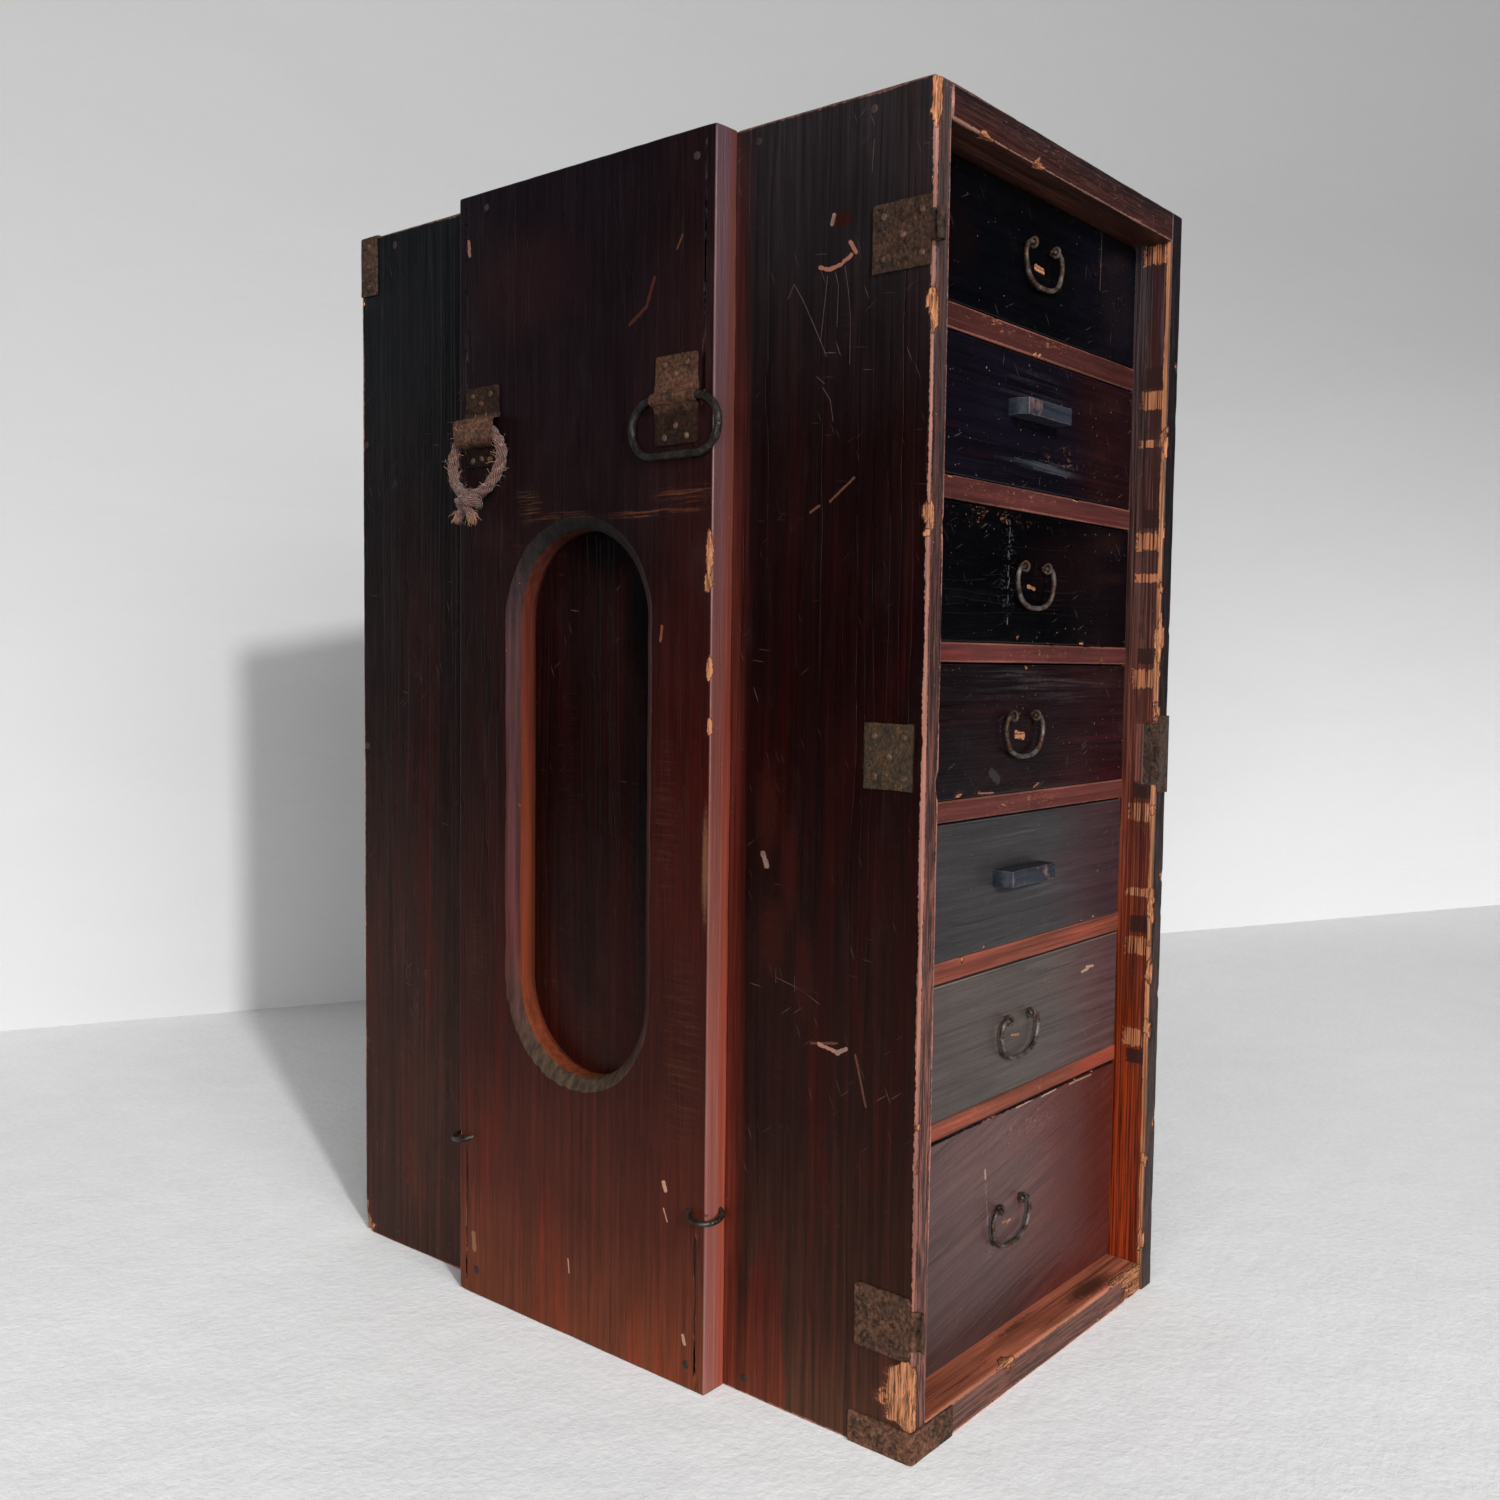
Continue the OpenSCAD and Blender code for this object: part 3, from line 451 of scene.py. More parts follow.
class Finish(Nodes):
    """One material's nodes from left to right."""

    PREFIX = "ShaderNode"

    def __init__(self, name):
        self.material = bpy.data.materials.new(name)
        self.material.use_nodes = True
        self.tree = self.material.node_tree
        self.tree.nodes.clear()
        self.shader = self.add("BsdfPrincipled")
        self.output = self.add("OutputMaterial", self.shader)
        self.place = self.add("TexCoord").other("Object")
        self.height = self.parts(self.place)[2]
        # Coordinates that lean with a drawer's grain, and one noise that all ragged edges share
        self.grained = self.rag = None

    def mapped(self, scale, shift=(0, 0, 0), turn=(0, 0, 0), of=None):
        scale = (scale,) * 3 if isinstance(scale, (int, float)) else scale
        return self.add("Mapping", of or self.place, Location=shift, Rotation=turn, Scale=scale)

    def noise(self, scale, detail=3, rough=0.55, bend=0.0, shift=(0, 0, 0)):
        return self.add("TexNoise", self.mapped(scale, shift, of=self.grained), Scale=1, Detail=detail,
            Roughness=rough, Distortion=bend)

    def cells(self, scale, shift=(0, 0, 0), of=None):
        """Distance to the nearest of some scattered points."""
        return self.add("TexVoronoi", self.mapped(scale, shift, of=of), Scale=1)

    def lot(self, gap):
        """A random value of each of the cells' points."""
        return self.parts(gap.other("Color"))[0]

    def span(self, value, low, high, start=0.0, end=1.0, kind="SMOOTHSTEP"):
        return self.add("MapRange", value, low, high, start, end, settings={"interpolation_type": kind})

    def tones(self, value, stops):
        """A colour ramp; stops are (place, colour)."""
        tone = self.add("ValToRGB", value)
        ramp = tone.socket.node.color_ramp
        for n, (at, shade) in enumerate(stops):
            stop = ramp.elements[n] if n < 2 else ramp.elements.new(at)
            stop.position, stop.color = at, (*shade, 1)
        return tone

    def mix(self, share, a, b, mode="MIX"):
        node = self.tree.nodes.new("ShaderNodeMix")
        node.data_type, node.blend_type = "RGBA", mode
        for socket, given in ((0, share), (6, a), (7, b)):
            self.feed(node.inputs[socket], given)
        return Value(self, node.outputs[2])

    def attribute(self, name):
        return self.add("Attribute", settings={"attribute_name": name}).other("Fac")

    def ragged(self):
        """One shared noise, about -1 to 1, that makes the edges of marks uneven."""
        if self.rag is None:
            self.rag = self.noise(380, 3, 0.65) * 4.0 - 2.0
        return self.rag

    def mark(self, start, end, width, ragged=0.35):
        """1 within width of the line between two points, with a ragged edge."""
        way = Vector(end) - Vector(start)
        from_start = self.vector("SUBTRACT", self.place, start)
        share = self.vector("DOT_PRODUCT", from_start, way / max(way.length_squared, 1e-12)).other(
            "Value")
        held = self.math("MINIMUM", self.math("MAXIMUM", share, 0.0), 1.0)
        apart = self.vector("DISTANCE", from_start, self.scaled(way, held)).other("Value")
        return self.span(apart + self.ragged() * (ragged * width), width * 0.75, width, 1, 0)

    def patch(self, centre, half, ragged=0.22):
        """1 within a box of these half sizes, with a ragged edge."""
        off = self.vector("ABSOLUTE", self.vector("SUBTRACT", self.place, centre))
        x, y, z = self.parts(self.vector("DIVIDE", off, half))
        far = self.math("MAXIMUM", self.math("MAXIMUM", x, y), z)
        return self.span(far + self.ragged() * ragged, 0.85, 1.0, 1, 0)

    def blot(self, centre, half):
        """1 in the middle of a soft, ragged oval of these half sizes, and 0 outside it."""
        off = self.vector("DIVIDE", self.vector("SUBTRACT", self.place, centre), half)
        far = self.vector("LENGTH", off).other("Value")
        return self.span(far + self.ragged() * 0.2, 0.3, 1.05, 1, 0)

    def chance(self, value):
        """A random value from 0 to 1 for each whole number."""
        return self.add("TexWhiteNoise", settings={"noise_dimensions": "1D"}, W=self.math("FLOOR", value))

    def dashes(self, grain, turn, shift, rare):
        """Short straight scratches that lean by an angle from the grain."""
        leaning = self.mapped(1, turn=(turn, 0, 0) if grain == 2 else (0, turn, 0))
        gap = self.cells(along(grain, 1300, 34), shift, leaning)
        return self.span(gap, 0.08, 0.2, 1, 0) * self.span(self.lot(gap), rare, rare + 0.01)

    def bumped(self, *layers):
        """Chains bump layers of (height, depth in metres)."""
        normal = None
        for height, depth in layers:
            normal = self.add("Bump", Distance=depth, Strength=1, Height=height, Normal=normal)
        return normal

    def done(self, base, rough, normal=None, metal=0.0, **uniform):
        """Feeds the shader. uniform values go straight to its sockets, spelled with _ for spaces."""
        inputs = self.shader.socket.node.inputs
        given = {"Base Color": base, "Roughness": rough, "Metallic": metal, "Normal": normal, **uniform}
        for key, value in given.items():
            self.feed(inputs[key.replace("_", " ")], value)
        return self.material


def along(axis, across, lengthwise):
    """A mapping scale that is fine across the grain and long along it."""
    return tuple(lengthwise if a == axis else across for a in range(3))


def by_height(f, stops):
    """A colour that changes up the case; stops are (height in metres, colour)."""
    up = f.span(f.height, 0.0, CASE_HEIGHT, kind="LINEAR")
    return f.tones(up, [(z / CASE_HEIGHT, tone) for z, tone in stops])


def front_edge(f, base, grain, streak, blotch, y, stops, rubbed=0.7, warm=None):
    """Colours the board's front edge at y: streaky, dusty lacquer with rubbed pinkish lines.

    warm is (x from, x to) where it grows more orange: painted light reflected onto the edge from the red side
    beside it."""
    x, on_y, _ = f.parts(f.place)
    on_edge = f.span(on_y, y + 0.0004, y + 0.0014, 1, 0)
    lines_in = f.noise(along(grain, 800, 9), 4, 0.7, shift=(2, 3, 1))
    plain = by_height(f, stops)
    if warm is not None:
        # Painted reflected light: the edge turns orange towards the red side beside it
        plain = f.mix(f.span(x, *warm), plain, f.mix(1.0, plain, (1.15, 0.72, 0.52, 1), "MULTIPLY"))
    tone = f.scaled(plain, f.span(lines_in, 0.3, 0.7, 1 - 0.55 * rubbed - 0.15, 1 + 0.45 * rubbed + 0.12))
    rubbed_lines = f.span(lines_in, 0.56, 0.66) * f.span(blotch, 0.42, 0.62, 0.1, 0.9 * rubbed)
    tone = f.mix(rubbed_lines, tone, f.scaled(plain, f.span(streak, 0.3, 0.7, 1.5, 2.6)))
    fibres = f.span(f.noise(along(grain, 620, 26), 4, 0.8, shift=(6, 1, 4)), 0.48, 0.57)
    fibres = fibres * f.span(f.height, 0.58, 0.10, 0.25 * rubbed, rubbed)
    tone = f.mix(fibres * 0.8, tone, (0.17, 0.062, 0.042, 1))
    return f.mix(on_edge, base, tone)


def cheek_face(f, base, x, way):
    """The face inside the case past x: red next to the drawers, then stained dark, then bare."""
    place_x, place_y, _ = f.parts(f.place)
    inside = f.span(place_x, x, x + 0.0006 * way)
    depth = place_y - FRONT_Y
    streaks = f.noise((800, 800, 12), 3, 0.65, shift=(1, 5, 3))
    warm = shades((0, 1500, 180, 42), (180, 1040, 150, 42), (450, 470, 200, 165), (660, 240, 175, 190))
    tone = f.scaled(by_height(f, warm), f.span(streaks, 0.34, 0.66, 0.30, 1.55))
    wander = (f.noise((60, 60, 30), 4, 0.65, 0.4) - 0.5) * 0.022
    from_front = depth + wander
    stain = f.span(from_front, 0.0150, 0.0125) * f.span(streaks, 0.70, 0.52)
    stain = stain * f.span(f.height, 0.30, 0.55, 0.35, 0.85)
    tone = f.mix(stain, tone, (0.022, 0.0075, 0.006, 1))
    rails = [(n, *(corner[2] for corner in box_of(f"front_rail_{n}"))) for n in RAILS]
    bands = [(0.6755, 0.0065)]
    bands += [((low + high) / 2 + (0.0125 if n == 6 else -0.0145), 0.0062) for n, low, high in rails]
    bands += [(0.4700, 0.0030), (0.5560, 0.0026), (0.2650, 0.0030)]
    for band, tall in bands:
        bare_band = f.patch((x, FRONT_Y + 0.0105, band), (1, 0.0085, tall), 0.3)
        tone = f.mix(bare_band * f.span(streaks, 0.42, 0.56), tone, (0.27, 0.105, 0.050, 1))
    for _, low, high in rails:
        block = f.patch((x, FRONT_Y + 0.0095, (low + high) / 2), (1, 0.0065, (high - low) / 2), 0.12)
        tone = f.mix(block * 0.9, tone, (0.017, 0.0075, 0.0065, 1))
    arris = f.span(depth + wander * 0.22, 0.0040, 0.0030)
    tone = f.mix(arris, tone, f.scaled(tint("bare_cedar"), f.span(streaks, 0.34, 0.66, 0.30, 1.05)))
    return f.mix(inside, base, tone)


def lacquer(name, grain, heights, drift_to=None, plank_reflection=None, hollow=None, edge=None, cheek=None,
    gloss=0.26, mirror=0.06, marks=(), patches=(), rings=(220, 8), figure=1.0, red=0.5, dust=0.12,
    scratches=0.4, specks=0.4, rub=0.0008, rub_tone=(0.17, 0.11, 0.095), shift=0.0, lean=0.0):
    """Worn lacquer over cedar with its grain along an axis.

    heights are (height in metres, colour) up the case. drift_to is (axis, from, to, heights) for other
    tones that fade in along an axis, strip (y from, y to, heights) a band of painted reflection of the
    plank's red edge in the glossy side, and hollow the heights of a hole's wall and of its bevel. edge
    is what front_edge takes, cheek (x, way) the face inside the case. marks are (start, end, width,
    colour) and patches (centre, half sizes, colour, kind), the kind flecks, streaks or plain; without a
    colour they are bare wood. rings is the growth lines per metre and their bend, lean how far a
    drawer's grain rises to the right."""
    f = Finish(name)
    if lean:
        f.grained = f.mapped(1, turn=(0, lean, 0))
    move = (shift, shift * 1.7, shift * 0.6)

    def lay(across, lengthwise, *more):
        """A noise that lies along the board's grain."""
        return f.noise(along(grain, across, lengthwise), *more, shift=move)

    fibre = lay(1500, 30, 2)
    streak = lay(260, 7, 4, 0.66, 0.2)
    field = lay(9, 0.8, 3, 0.42, 0.1)
    patch = lay(16, 2.8, 3, 0.6, 1.0)
    blotch = f.noise(8, 4, 0.6, 0.5, shift=move)
    fleck = lay(620, 210, 4, 0.75)
    over = f.math("ADD", *(part for axis, part in enumerate(f.parts(f.grained or f.place))
        if axis != grain))
    bend = field + lay(55, 4, 3, 0.6) * 0.45
    growth = over * rings[0] + bend * rings[1]
    ring = f.math("FRACT", growth)
    late = f.span(ring, 0.4, 0.93) * f.span(ring, 1.0, 0.95)
    late = late * f.span(f.chance(growth), 0.25, 1.0, 0.12, 1)
    late = late * f.span(lay(36, 3, 3, 0.6), 0.36, 0.62, 0.2, 1)

    level = f.span(streak, 0.28, 0.74, 1 - 0.36 * figure, 1 + 0.42 * figure)
    level = level * (1.1 - late * (0.55 * figure))
    level = level * f.span(fibre, 0.3, 0.7, 0.86, 1.14)
    level = level * f.span(blotch, 0.3, 0.72, 0.86, 1.14)
    tone = by_height(f, heights)
    if drift_to is not None:
        axis, start, end, others = drift_to
        drift = (patch - 0.5) * (1.1 * (end - start))
        share = f.span(f.parts(f.place)[axis] + drift, start, end)
        tone = f.mix(share, tone, by_height(f, others))
    reddish = f.span(patch, 0.50, 0.64) * f.span(f.height, 0.60, 0.40, 0.25 * red, red)
    reddish = f.math("ADD", reddish, f.span(streak, 0.54, 0.70) * (0.55 * red), clamp=True)
    tone = f.mix(reddish, tone, f.mix(1.0, f.scaled(tone, 1.25), (1.75, 0.62, 0.50, 1), "MULTIPLY"))
    # Painted reflection: a band where the plank's red edge is mirrored in the side beside it
    if plank_reflection is not None:
        start, end, others = plank_reflection
        drift = (streak - 0.5) * (0.5 * (end - start))
        share = f.span(f.parts(f.place)[1] + drift, start, end)
        share = share * f.span(f.parts(f.place)[1], PLANK_LOW[1] + 0.004, PLANK_LOW[1] + 0.001)
        tone = f.mix(share, tone, by_height(f, others))
    base = f.scaled(tone, level)
    if hollow is not None:
        wall_heights, bevel_heights = hollow
        wall = f.attribute("wall")
        base = f.mix(f.span(wall, 0.1, 0.3), base, f.scaled(by_height(f, bevel_heights),
            f.span(streak, 0.3, 0.7, 0.6, 1.4)))
        base = f.mix(f.span(wall, 0.65, 0.9), base, f.scaled(by_height(f, wall_heights),
            f.span(streak, 0.3, 0.7, 0.7, 1.3)))
    if cheek is not None:
        base = cheek_face(f, base, *cheek)
    if edge is not None:
        base = front_edge(f, base, grain, streak, blotch, *edge)

    # Rubbed arrises, grey dust, scratches and specks
    rag = f.ragged()
    low_rub = (rag * 0.5 + f.span(blotch, 0.3, 0.7, 0.4, 1.5)) * rub
    line = f.span(f.attribute("arris") - low_rub, -0.0002, 0.0003, 1, 0)
    line = line * f.span(f.height, CASE_HEIGHT - 0.004, CASE_HEIGHT - 0.0015, 0.85, 0.3)
    base = f.mix(line, base, f.scaled(rub_tone, f.span(streak, 0.25, 0.75, 0.4, 1.5)))
    dusty = f.span(lay(55, 17, 5, 0.7, 0.4), 0.52, 0.8) * dust
    base = f.mix(dusty, base, (0.060, 0.046, 0.044, 1))
    crowd = f.span(f.noise(20, 3, 0.6, shift=move), 0.40, 0.62, 0.25, 1)
    for size, chosen, low in ((105, 0.10, 0.04), (270, 0.16, 0.06)):
        gap = f.cells(size, shift=move)
        kept = f.span(f.lot(gap), 1 - chosen * specks, 1 - chosen * specks + 0.02)
        speck = f.span(gap, low, 2.3 * low, 1, 0) * kept * crowd
        base = f.mix(speck * 0.8, base, (0.17, 0.115, 0.095, 1))
    for turn, rare in ((0.4, 0.975), (-0.95, 0.982), (1.45, 0.985)):
        dash = f.dashes(grain, turn, move, 1 - (1 - rare) * 2.2 * scratches) * crowd
        base = f.mix(dash * 0.6, base, (0.16, 0.115, 0.10, 1))

    # Bare wood, with the red undercoat round it
    bare = f.attribute("bare") + rag * 0.22
    shapes = [(f.mark(start, end, width), tone, "plain") for start, end, width, tone in marks]
    shapes += [(f.blot(centre, half), tone, kind) for centre, half, tone, kind in patches]
    crosswise = f.noise((900, 40, 900), 4, 0.7, shift=move) if grain == 2 else streak
    masks = {"flecks": f.span(fleck, 0.55, 0.63) * f.span(f.noise(85, 3, 0.6, shift=move), 0.42, 0.55),
        "streaks": f.span(crosswise, 0.46, 0.66)}
    for shape, tone, kind in shapes:
        if kind in masks:
            shape = shape * masks[kind]
        if tone is None:
            bare = f.math("MAXIMUM", bare, shape)
        else:
            base = f.mix(shape * (tone[3] if len(tone) > 3 else 1.0), base, (*tone[:3], 1))
    undercoat = f.span(bare, 0.30, 0.46)
    open_wood = f.span(bare, 0.46, 0.62)
    base = f.mix(undercoat, base, (0.050, 0.014, 0.009, 1))
    grainy = f.noise(along(grain, 900, 60), 4, 0.75)
    base = f.mix(open_wood, base, f.scaled(tint("bare_cedar"), f.span(grainy, 0.36, 0.64, 0.16, 1.15)))

    dull = dusty * 0.3 + undercoat * 0.45
    dull = dull + f.span(blotch, 0.25, 0.8, gloss - 0.04, gloss + 0.10)
    if hollow is not None:
        dull = dull + f.span(wall, 0.1, 0.3, 0, 0.4)
    rough = f.math("ADD", dull, streak * 0.08, clamp=True)
    normal = f.bumped((f.noise(60, 2, 0.5, shift=move), 0.0003), (fibre * 0.6 - late, 0.00016),
        (grainy * open_wood, 0.0011))
    return f.done(base, rough, normal, Specular_IOR_Level=mirror)


def plain_cedar(name, grain, tone, stains=0.5):
    """Unpainted cedar, hand planed and darkened by use."""
    f = Finish(name)
    streak = f.noise(along(grain, 220, 6), 4, 0.65, 0.2)
    field = f.noise(along(grain, 12, 1.2), 2, 0.45, 0.15)
    rings = f.span(f.math("SINE", field * 130.0), 0.2, 1.0)
    level = f.span(streak, 0.25, 0.8, 0.65, 1.25) * f.span(rings, 0, 1, 1.0, 0.80)
    base = f.scaled(tone, level)
    base = f.mix(f.span(f.noise(14, 5, 0.65, 0.6), 0.48, 0.75, 0, stains), base, (0.045, 0.022, 0.014, 1))
    normal = f.bumped((f.noise(along(grain, 1300, 40), 2), 0.00008), (rings, 0.0001))
    return f.done(base, f.span(streak, 0, 1, 0.62, 0.8), normal, Specular_IOR_Level=0.3)


def iron(name, rust, metal=0.5, rough=0.5, pits=1.0, bright=0.0, light=None):
    """Forged iron: rust from 0 to 1, pits in its surface, and bright spots where hands rub it.

    light is (height in metres, how light it is there)."""
    f = Finish(name)
    grain = f.noise(900, 4, 0.7)
    patch = f.noise(95, 5, 0.7, 0.6)
    fine = f.noise(420, 4, 0.65, 0.4)
    base = f.mix(f.span(patch, 0.30, 0.62, 0.25 * rust, 1.15 * rust), tint("scale"), tint("rust"))
    base = f.scaled(base, f.span(fine, 0.25, 0.75, 0.35, 1.75))
    ochre = f.span(f.noise(230, 3, 0.6, shift=(3, 1, 2)), 0.56, 0.72) * (0.55 * rust)
    base = f.mix(ochre, base, (0.13, 0.070, 0.036, 1))
    if light:
        wavy = f.height + (patch - 0.5) * 0.008
        low, high = light[0][0], light[-1][0]
        level = f.tones(f.span(wavy, low, high, kind="LINEAR"),
            [((z - low) / (high - low), (v,) * 3) for z, v in light])
        base = f.mix(1.0, base, level, "MULTIPLY")
    worn_spots = f.span(f.noise(130, 4, 0.6, shift=(7, 5, 1)), 0.42, 0.62) * bright
    base = f.mix(worn_spots, base, tint("iron"))
    shine = (rough + 0.22 * rust) - worn_spots * 0.2
    holes = f.cells(330)
    normal = f.bumped((patch, 0.0004), (f.span(holes, 0.1, 0.5), 0.00022 * pits), (grain, 0.00012))
    metal_share = (1.0 - ochre) * (metal * (1 - 0.7 * rust))
    return f.done(base, shine, normal, metal_share, Specular_IOR_Level=0.06)


def tarnished_brass(name):
    f = Finish(name)
    patch = f.noise(120, 5, 0.7, 0.5)
    fine = f.noise(500, 4, 0.7)
    base = f.mix(f.span(patch, 0.35, 0.65), (0.028, 0.017, 0.010, 1), tint("brass"))
    base = f.scaled(base, f.span(fine, 0.25, 0.75, 0.25, 0.95))
    normal = f.bumped((patch, 0.0003), (f.span(f.cells(420), 0.1, 0.5), 0.00015), (fine, 0.0001))
    return f.done(base, f.span(patch, 0.3, 0.7, 0.62, 0.42), normal, 0.6)


def stained_hardwood(name):
    """Dark hardwood of the block pulls, rubbed pinkish where fingers hold it."""
    f = Finish(name)
    streak = f.noise(along(0, 260, 14), 4, 0.65, 0.2)
    rubbed = f.noise(60, 3, 0.6, 0.4, shift=(2, 0, 5))
    y = f.parts(f.place)[1]
    outer = f.span(y, -0.2195, -0.2222)
    base = f.scaled(tint("hardwood"), f.span(streak, 0.25, 0.75, 0.5, 2.0))
    base = f.mix(f.span(rubbed, 0.50, 0.66) * (outer * 0.55), base, (0.16, 0.085, 0.075, 1))
    line = f.span(f.attribute("arris") - f.noise(500, 2) * 0.0012, -0.0005, 0.0002, 0.5, 0)
    base = f.mix(line, base, (0.060, 0.052, 0.056, 1))
    normal = f.bumped((f.noise(along(0, 1100, 60), 3), 0.00012), (f.noise(250, 3), 0.00012))
    return f.done(base, f.span(rubbed, 0.3, 0.7, 0.60, 0.42), normal, Specular_IOR_Level=0.2)


def hemp(name, tone, turns=900.0):
    """Fibres that lie along a strand; "along" and "around" are the strand's own attributes."""
    f = Finish(name)
    fibre = f.noise(1500, 3, 0.7)
    patch = f.noise(170, 3, 0.6)
    lay = f.math("SINE", f.attribute("along") * turns + f.attribute("around") * 6.0)
    base = f.scaled(tone, f.span(fibre, 0.25, 0.75, 0.5, 1.5))
    # The yarns' twist as stripes, darkened in the grooves between the yarns as painted shade
    base = f.scaled(base, f.span(lay, -1, 1, 0.22, 1.4))
    base = f.mix(f.span(patch, 0.50, 0.70, 0, 0.6), base, (0.060, 0.018, 0.015, 1))
    base = f.mix(f.span(f.noise(260, 3, shift=(4, 4, 4)), 0.58, 0.75, 0, 0.55), base,
        (0.24, 0.14, 0.10, 1))
    normal = f.bumped((lay, 0.00012), (fibre, 0.0002))
    return f.done(base, 0.88, normal, Specular_IOR_Level=0.2, Sheen_Weight=0.15, Sheen_Roughness=0.5)


def concrete(name):
    f = Finish(name)
    broad = f.noise(1.6, 4, 0.55)
    fine = f.noise(26, 5, 0.65)
    base = f.scaled(tint("floor"), f.span(broad, 0.25, 0.75, 0.965, 1.03))
    base = f.scaled(base, f.span(fine, 0.3, 0.7, 0.985, 1.012))
    grit = f.noise(190, 4, 0.7)
    base = f.scaled(base, f.span(grit, 0.3, 0.7, 0.955, 1.03))
    base = f.mix(f.span(f.cells(38), 0.03, 0.06, 0.12, 0), base, (0.42, 0.42, 0.42, 1))
    normal = f.bumped((broad, 0.004), (fine, 0.0009), (grit, 0.0004))
    return f.done(base, 0.85, normal, Specular_IOR_Level=0.15)


def plaster(name):
    """Trowelled plaster that shows only from its front, so that views from behind see past it.

    Its colour carries painted light falloff, lighter low down and darker high up.
    """
    f = Finish(name)
    trowel = f.noise((2.2, 2.2, 7), 4, 0.6, 0.6)
    fine = f.noise(40, 4, 0.6)
    x = f.parts(f.place)[0]
    # Painted light falloff: the wall is lighter low down and darker high up, more steeply to the right
    left = f.span(f.height, -0.3, 1.25, 1.06, 0.68)
    right = f.span(f.height, -0.1, 1.15, 1.34, 0.62)
    side_share = f.span(x, 0.1, 1.7)
    level = left * (1.0 - side_share) + right * side_share
    base = f.scaled(f.scaled(tint("wall"), f.span(trowel, 0.3, 0.7, 0.99, 1.012)), level)
    normal = f.bumped((trowel, 0.0045), (fine, 0.0007))
    f.done(base, 0.9, normal, Specular_IOR_Level=0.1)
    behind = f.add("NewGeometry").other("Backfacing")
    f.feed(f.output.inputs["Surface"], f.add("MixShader", behind, f.shader, f.add("BsdfTransparent")))
    return f.material


# Geometry Nodes


class Recipe(Nodes):
    """A Geometry Nodes tree. Every tree ends in Realize Instances and Set Material."""

    PREFIX = "GeometryNode"
    KINDS = {"Geometry": "NodeSocketGeometry", "Material": "NodeSocketMaterial", "Seed": "NodeSocketInt"}
    AT_POINTS = {"data_type": "FLOAT", "domain": "POINT"}

    def __init__(self, name, **inputs):
        self.tree = bpy.data.node_groups.new(name, "GeometryNodeTree")
        for key, default in {"Geometry": None, "Material": None, **inputs}.items():
            label = key.replace("_", " ")
            kind = self.KINDS.get(label, "NodeSocketFloat")
            socket = self.tree.interface.new_socket(name=label, in_out="INPUT", socket_type=kind)
            if default is not None:
                socket.default_value = default
        self.tree.interface.new_socket(name="Geometry", in_out="OUTPUT", socket_type="NodeSocketGeometry")
        given = self.tree.nodes.new("NodeGroupInput").outputs
        self.given = {socket.name: Value(self, socket) for socket in given if socket.name}

    def evenly(self, size):
        """A number as a scale along x, y and z."""
        return self.add("ShaderNodeCombineXYZ", size, size, size)

    def random(self, low, high):
        """A random vector for each element."""
        return self.add("FunctionNodeRandomValue", low, high, Seed=self.given["Seed"],
            settings={"data_type": "FLOAT_VECTOR"})

    def stray(self, size, detail):
        """A noise of the place, about -0.5 to 0.5 in each direction."""
        noise = self.add("ShaderNodeTexNoise", self.add("InputPosition"), Scale=size, Detail=detail)
        return self.vector("SUBTRACT", noise.other("Color"), (0.5, 0.5, 0.5))

    def close(self, geometry):
        painted = self.add("SetMaterial", self.add("RealizeInstances", geometry),
            Material=self.given["Material"])
        output = self.tree.nodes.new("NodeGroupOutput")
        self.tree.links.new(painted.socket, output.inputs[0])
        return self.tree


def grown(name, base_mesh, tree, material, **values):
    """Runs a tree on a base mesh and gives the result as one plain mesh object."""
    holder = bpy.data.objects.new(name + "_start", base_mesh)
    bpy.context.scene.collection.objects.link(holder)
    modifier = holder.modifiers.new("Growth", "NODES")
    modifier.node_group = tree
    values["Material"] = material
    for item in tree.interface.items_tree:
        if item.in_out == "INPUT" and item.name.replace(" ", "_") in values:
            modifier[item.identifier] = values[item.name.replace(" ", "_")]
    mesh = evaluated(holder)
    if not len(mesh.polygons):
        raise RuntimeError(f"{name}: its Geometry Nodes tree made nothing")
    holder.modifiers.remove(modifier)
    bpy.data.objects.remove(holder)
    mesh.name = name
    piece = bpy.data.objects.new(name, mesh)
    bpy.context.scene.collection.objects.link(piece)
    return piece


def points_mesh(places):
    """A mesh of loose points with an "out" direction at each; places are (point, direction)."""
    mesh = bpy.data.meshes.new("places")
    mesh.from_pydata([tuple(map(float, p)) for p, _ in places], [], [])
    out = mesh.attributes.new("out", "FLOAT_VECTOR", "POINT")
    out.data.foreach_set("vector", np.array([d for _, d in places], np.float32).ravel())
    return mesh


def heads_recipe():
    """Domed hand-made heads of nails or pegs on points that carry their direction."""
    r = Recipe("Heads on points", Width=0.004, Rise=0.001, Dents=0.0002, Seed=3)
    wide = r.given["Width"]
    dome = r.add("MeshUVSphere", Segments=12, Rings=8, Radius=0.5)
    dome = r.add("Transform", dome, Scale=r.add("ShaderNodeCombineXYZ", wide, wide,
        r.given["Rise"] * 2.0))
    out = r.add("InputNamedAttribute", "out", settings={"data_type": "FLOAT_VECTOR"})
    facing = r.add("FunctionNodeAlignRotationToVector", None, 1.0, out, settings={"axis": "Z"})
    spin = r.random((-0.12, -0.12, 0.0), (0.12, 0.12, 6.28))
    facing = r.add("FunctionNodeRotateRotation", facing, spin, settings={"rotation_space": "LOCAL"})
    heads = r.add("InstanceOnPoints", r.given["Geometry"], Instance=dome, Rotation=facing,
        Scale=r.random((0.82, 0.82, 0.7), (1.12, 1.12, 1.2)))
    real = r.add("RealizeInstances", heads)
    dent = r.scaled(r.scaled(r.stray(650.0, 1.0), r.given["Dents"]), 2.0)
    return r.close(r.add("SetShadeSmooth", r.add("SetPosition", real, Offset=dent)))


